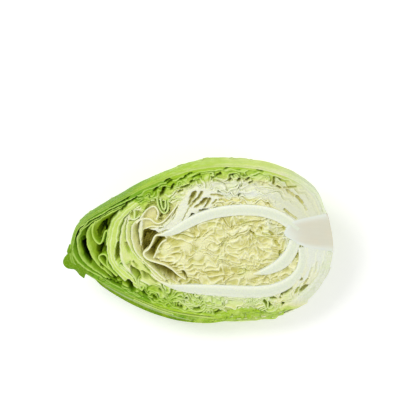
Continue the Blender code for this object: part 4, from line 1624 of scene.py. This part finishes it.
class CABBAGE_OT_ribs(bpy.types.Operator):
    """Builds the leaves that are cut along their ribs"""

    bl_idname = "cabbage.ribs"
    bl_label = "Ribbed leaves"

    def execute(self, context):
        for name, lines, node_name in (
            ("ribbed_leaf_above", (UPPER_RIB,), "ribbed_leaf_upper"),
            ("ribbed_leaf_below", (LOWER_RIB, SHORT_RIB), "ribbed_leaf_lower"),
        ):
            points, faces, looks = blades([rib_path(line) for line in lines], 17, RIB_ROWS)
            looks["green"] = 0 * looks["green"] + 0.05
            looks["core"] = looks["cut"] * looks["rib"] * (looks["depth"] < 0.2)
            made = piece(name, (points, faces, looks), leaf_material("cut_leaf"), 45)
            place(made, "rib_white", node_name)
        return {"FINISHED"}


class CABBAGE_OT_heart(bpy.types.Operator):
    """Builds the crumpled heart"""

    bl_idname = "cabbage.heart"
    bl_label = "Heart"

    def execute(self, context):
        made = piece("heart_leaf_folds", heart_mesh(layer_table()), leaf_material("cut_leaf"), 70)
        place(made, "leaf_cream", "heart_leaves")
        return {"FINISHED"}


class CABBAGE_OT_stage(bpy.types.Operator):
    """Builds the floor, the lights and the camera"""

    bl_idname = "cabbage.stage"
    bl_label = "Stage"

    def execute(self, context):
        scene = context.scene
        floor = white_floor()
        world = bpy.data.worlds.new("studio")
        world.use_nodes = True
        background = world.node_tree.nodes["Background"]
        background.inputs["Color"].default_value = (1.0, 1.0, 1.0, 1)
        background.inputs["Strength"].default_value = SKY_LIGHT
        scene.world = world
        lit_by("key", (-0.5, 0.35, 1.1), 6.5, 0.5)
        lit_by("fill", (0.7, -0.6, 0.9), 2.0, 0.8)
        scene.camera = photo_camera()
        scene.view_settings.view_transform = "Standard"
        scene.view_settings.look = "None"
        return {"FINISHED"}


class CABBAGE_PT_panel(bpy.types.Panel):
    """The half head's settings and pieces"""

    bl_idname = "CABBAGE_PT_panel"
    bl_label = "Half pointed cabbage"
    bl_space_type = "VIEW_3D"
    bl_region_type = "UI"
    bl_category = "Cabbage"

    def draw(self, context):
        settings = context.scene.cabbage
        for key in CabbageSettings.__annotations__:
            self.layout.prop(settings, key)
        for operator in OPERATORS:
            self.layout.operator(operator.bl_idname)


OPERATORS = (
    CABBAGE_OT_stage, CABBAGE_OT_stem, CABBAGE_OT_wrappers,
    CABBAGE_OT_folds, CABBAGE_OT_ribs, CABBAGE_OT_heart,
)
CLASSES = (CabbageSettings, *OPERATORS, CABBAGE_PT_panel)


def register():
    for part in CLASSES:
        bpy.utils.register_class(part)
    bpy.types.Scene.cabbage = PointerProperty(type=CabbageSettings)


def unregister():
    del bpy.types.Scene.cabbage
    for part in reversed(CLASSES):
        bpy.utils.unregister_class(part)


def main():
    register()
    bpy.ops.cabbage.stage()
    bpy.ops.cabbage.stem()
    bpy.ops.cabbage.wrappers()
    bpy.ops.cabbage.folds()
    bpy.ops.cabbage.ribs()
    bpy.ops.cabbage.heart()


if __name__ == "__main__":
    main()
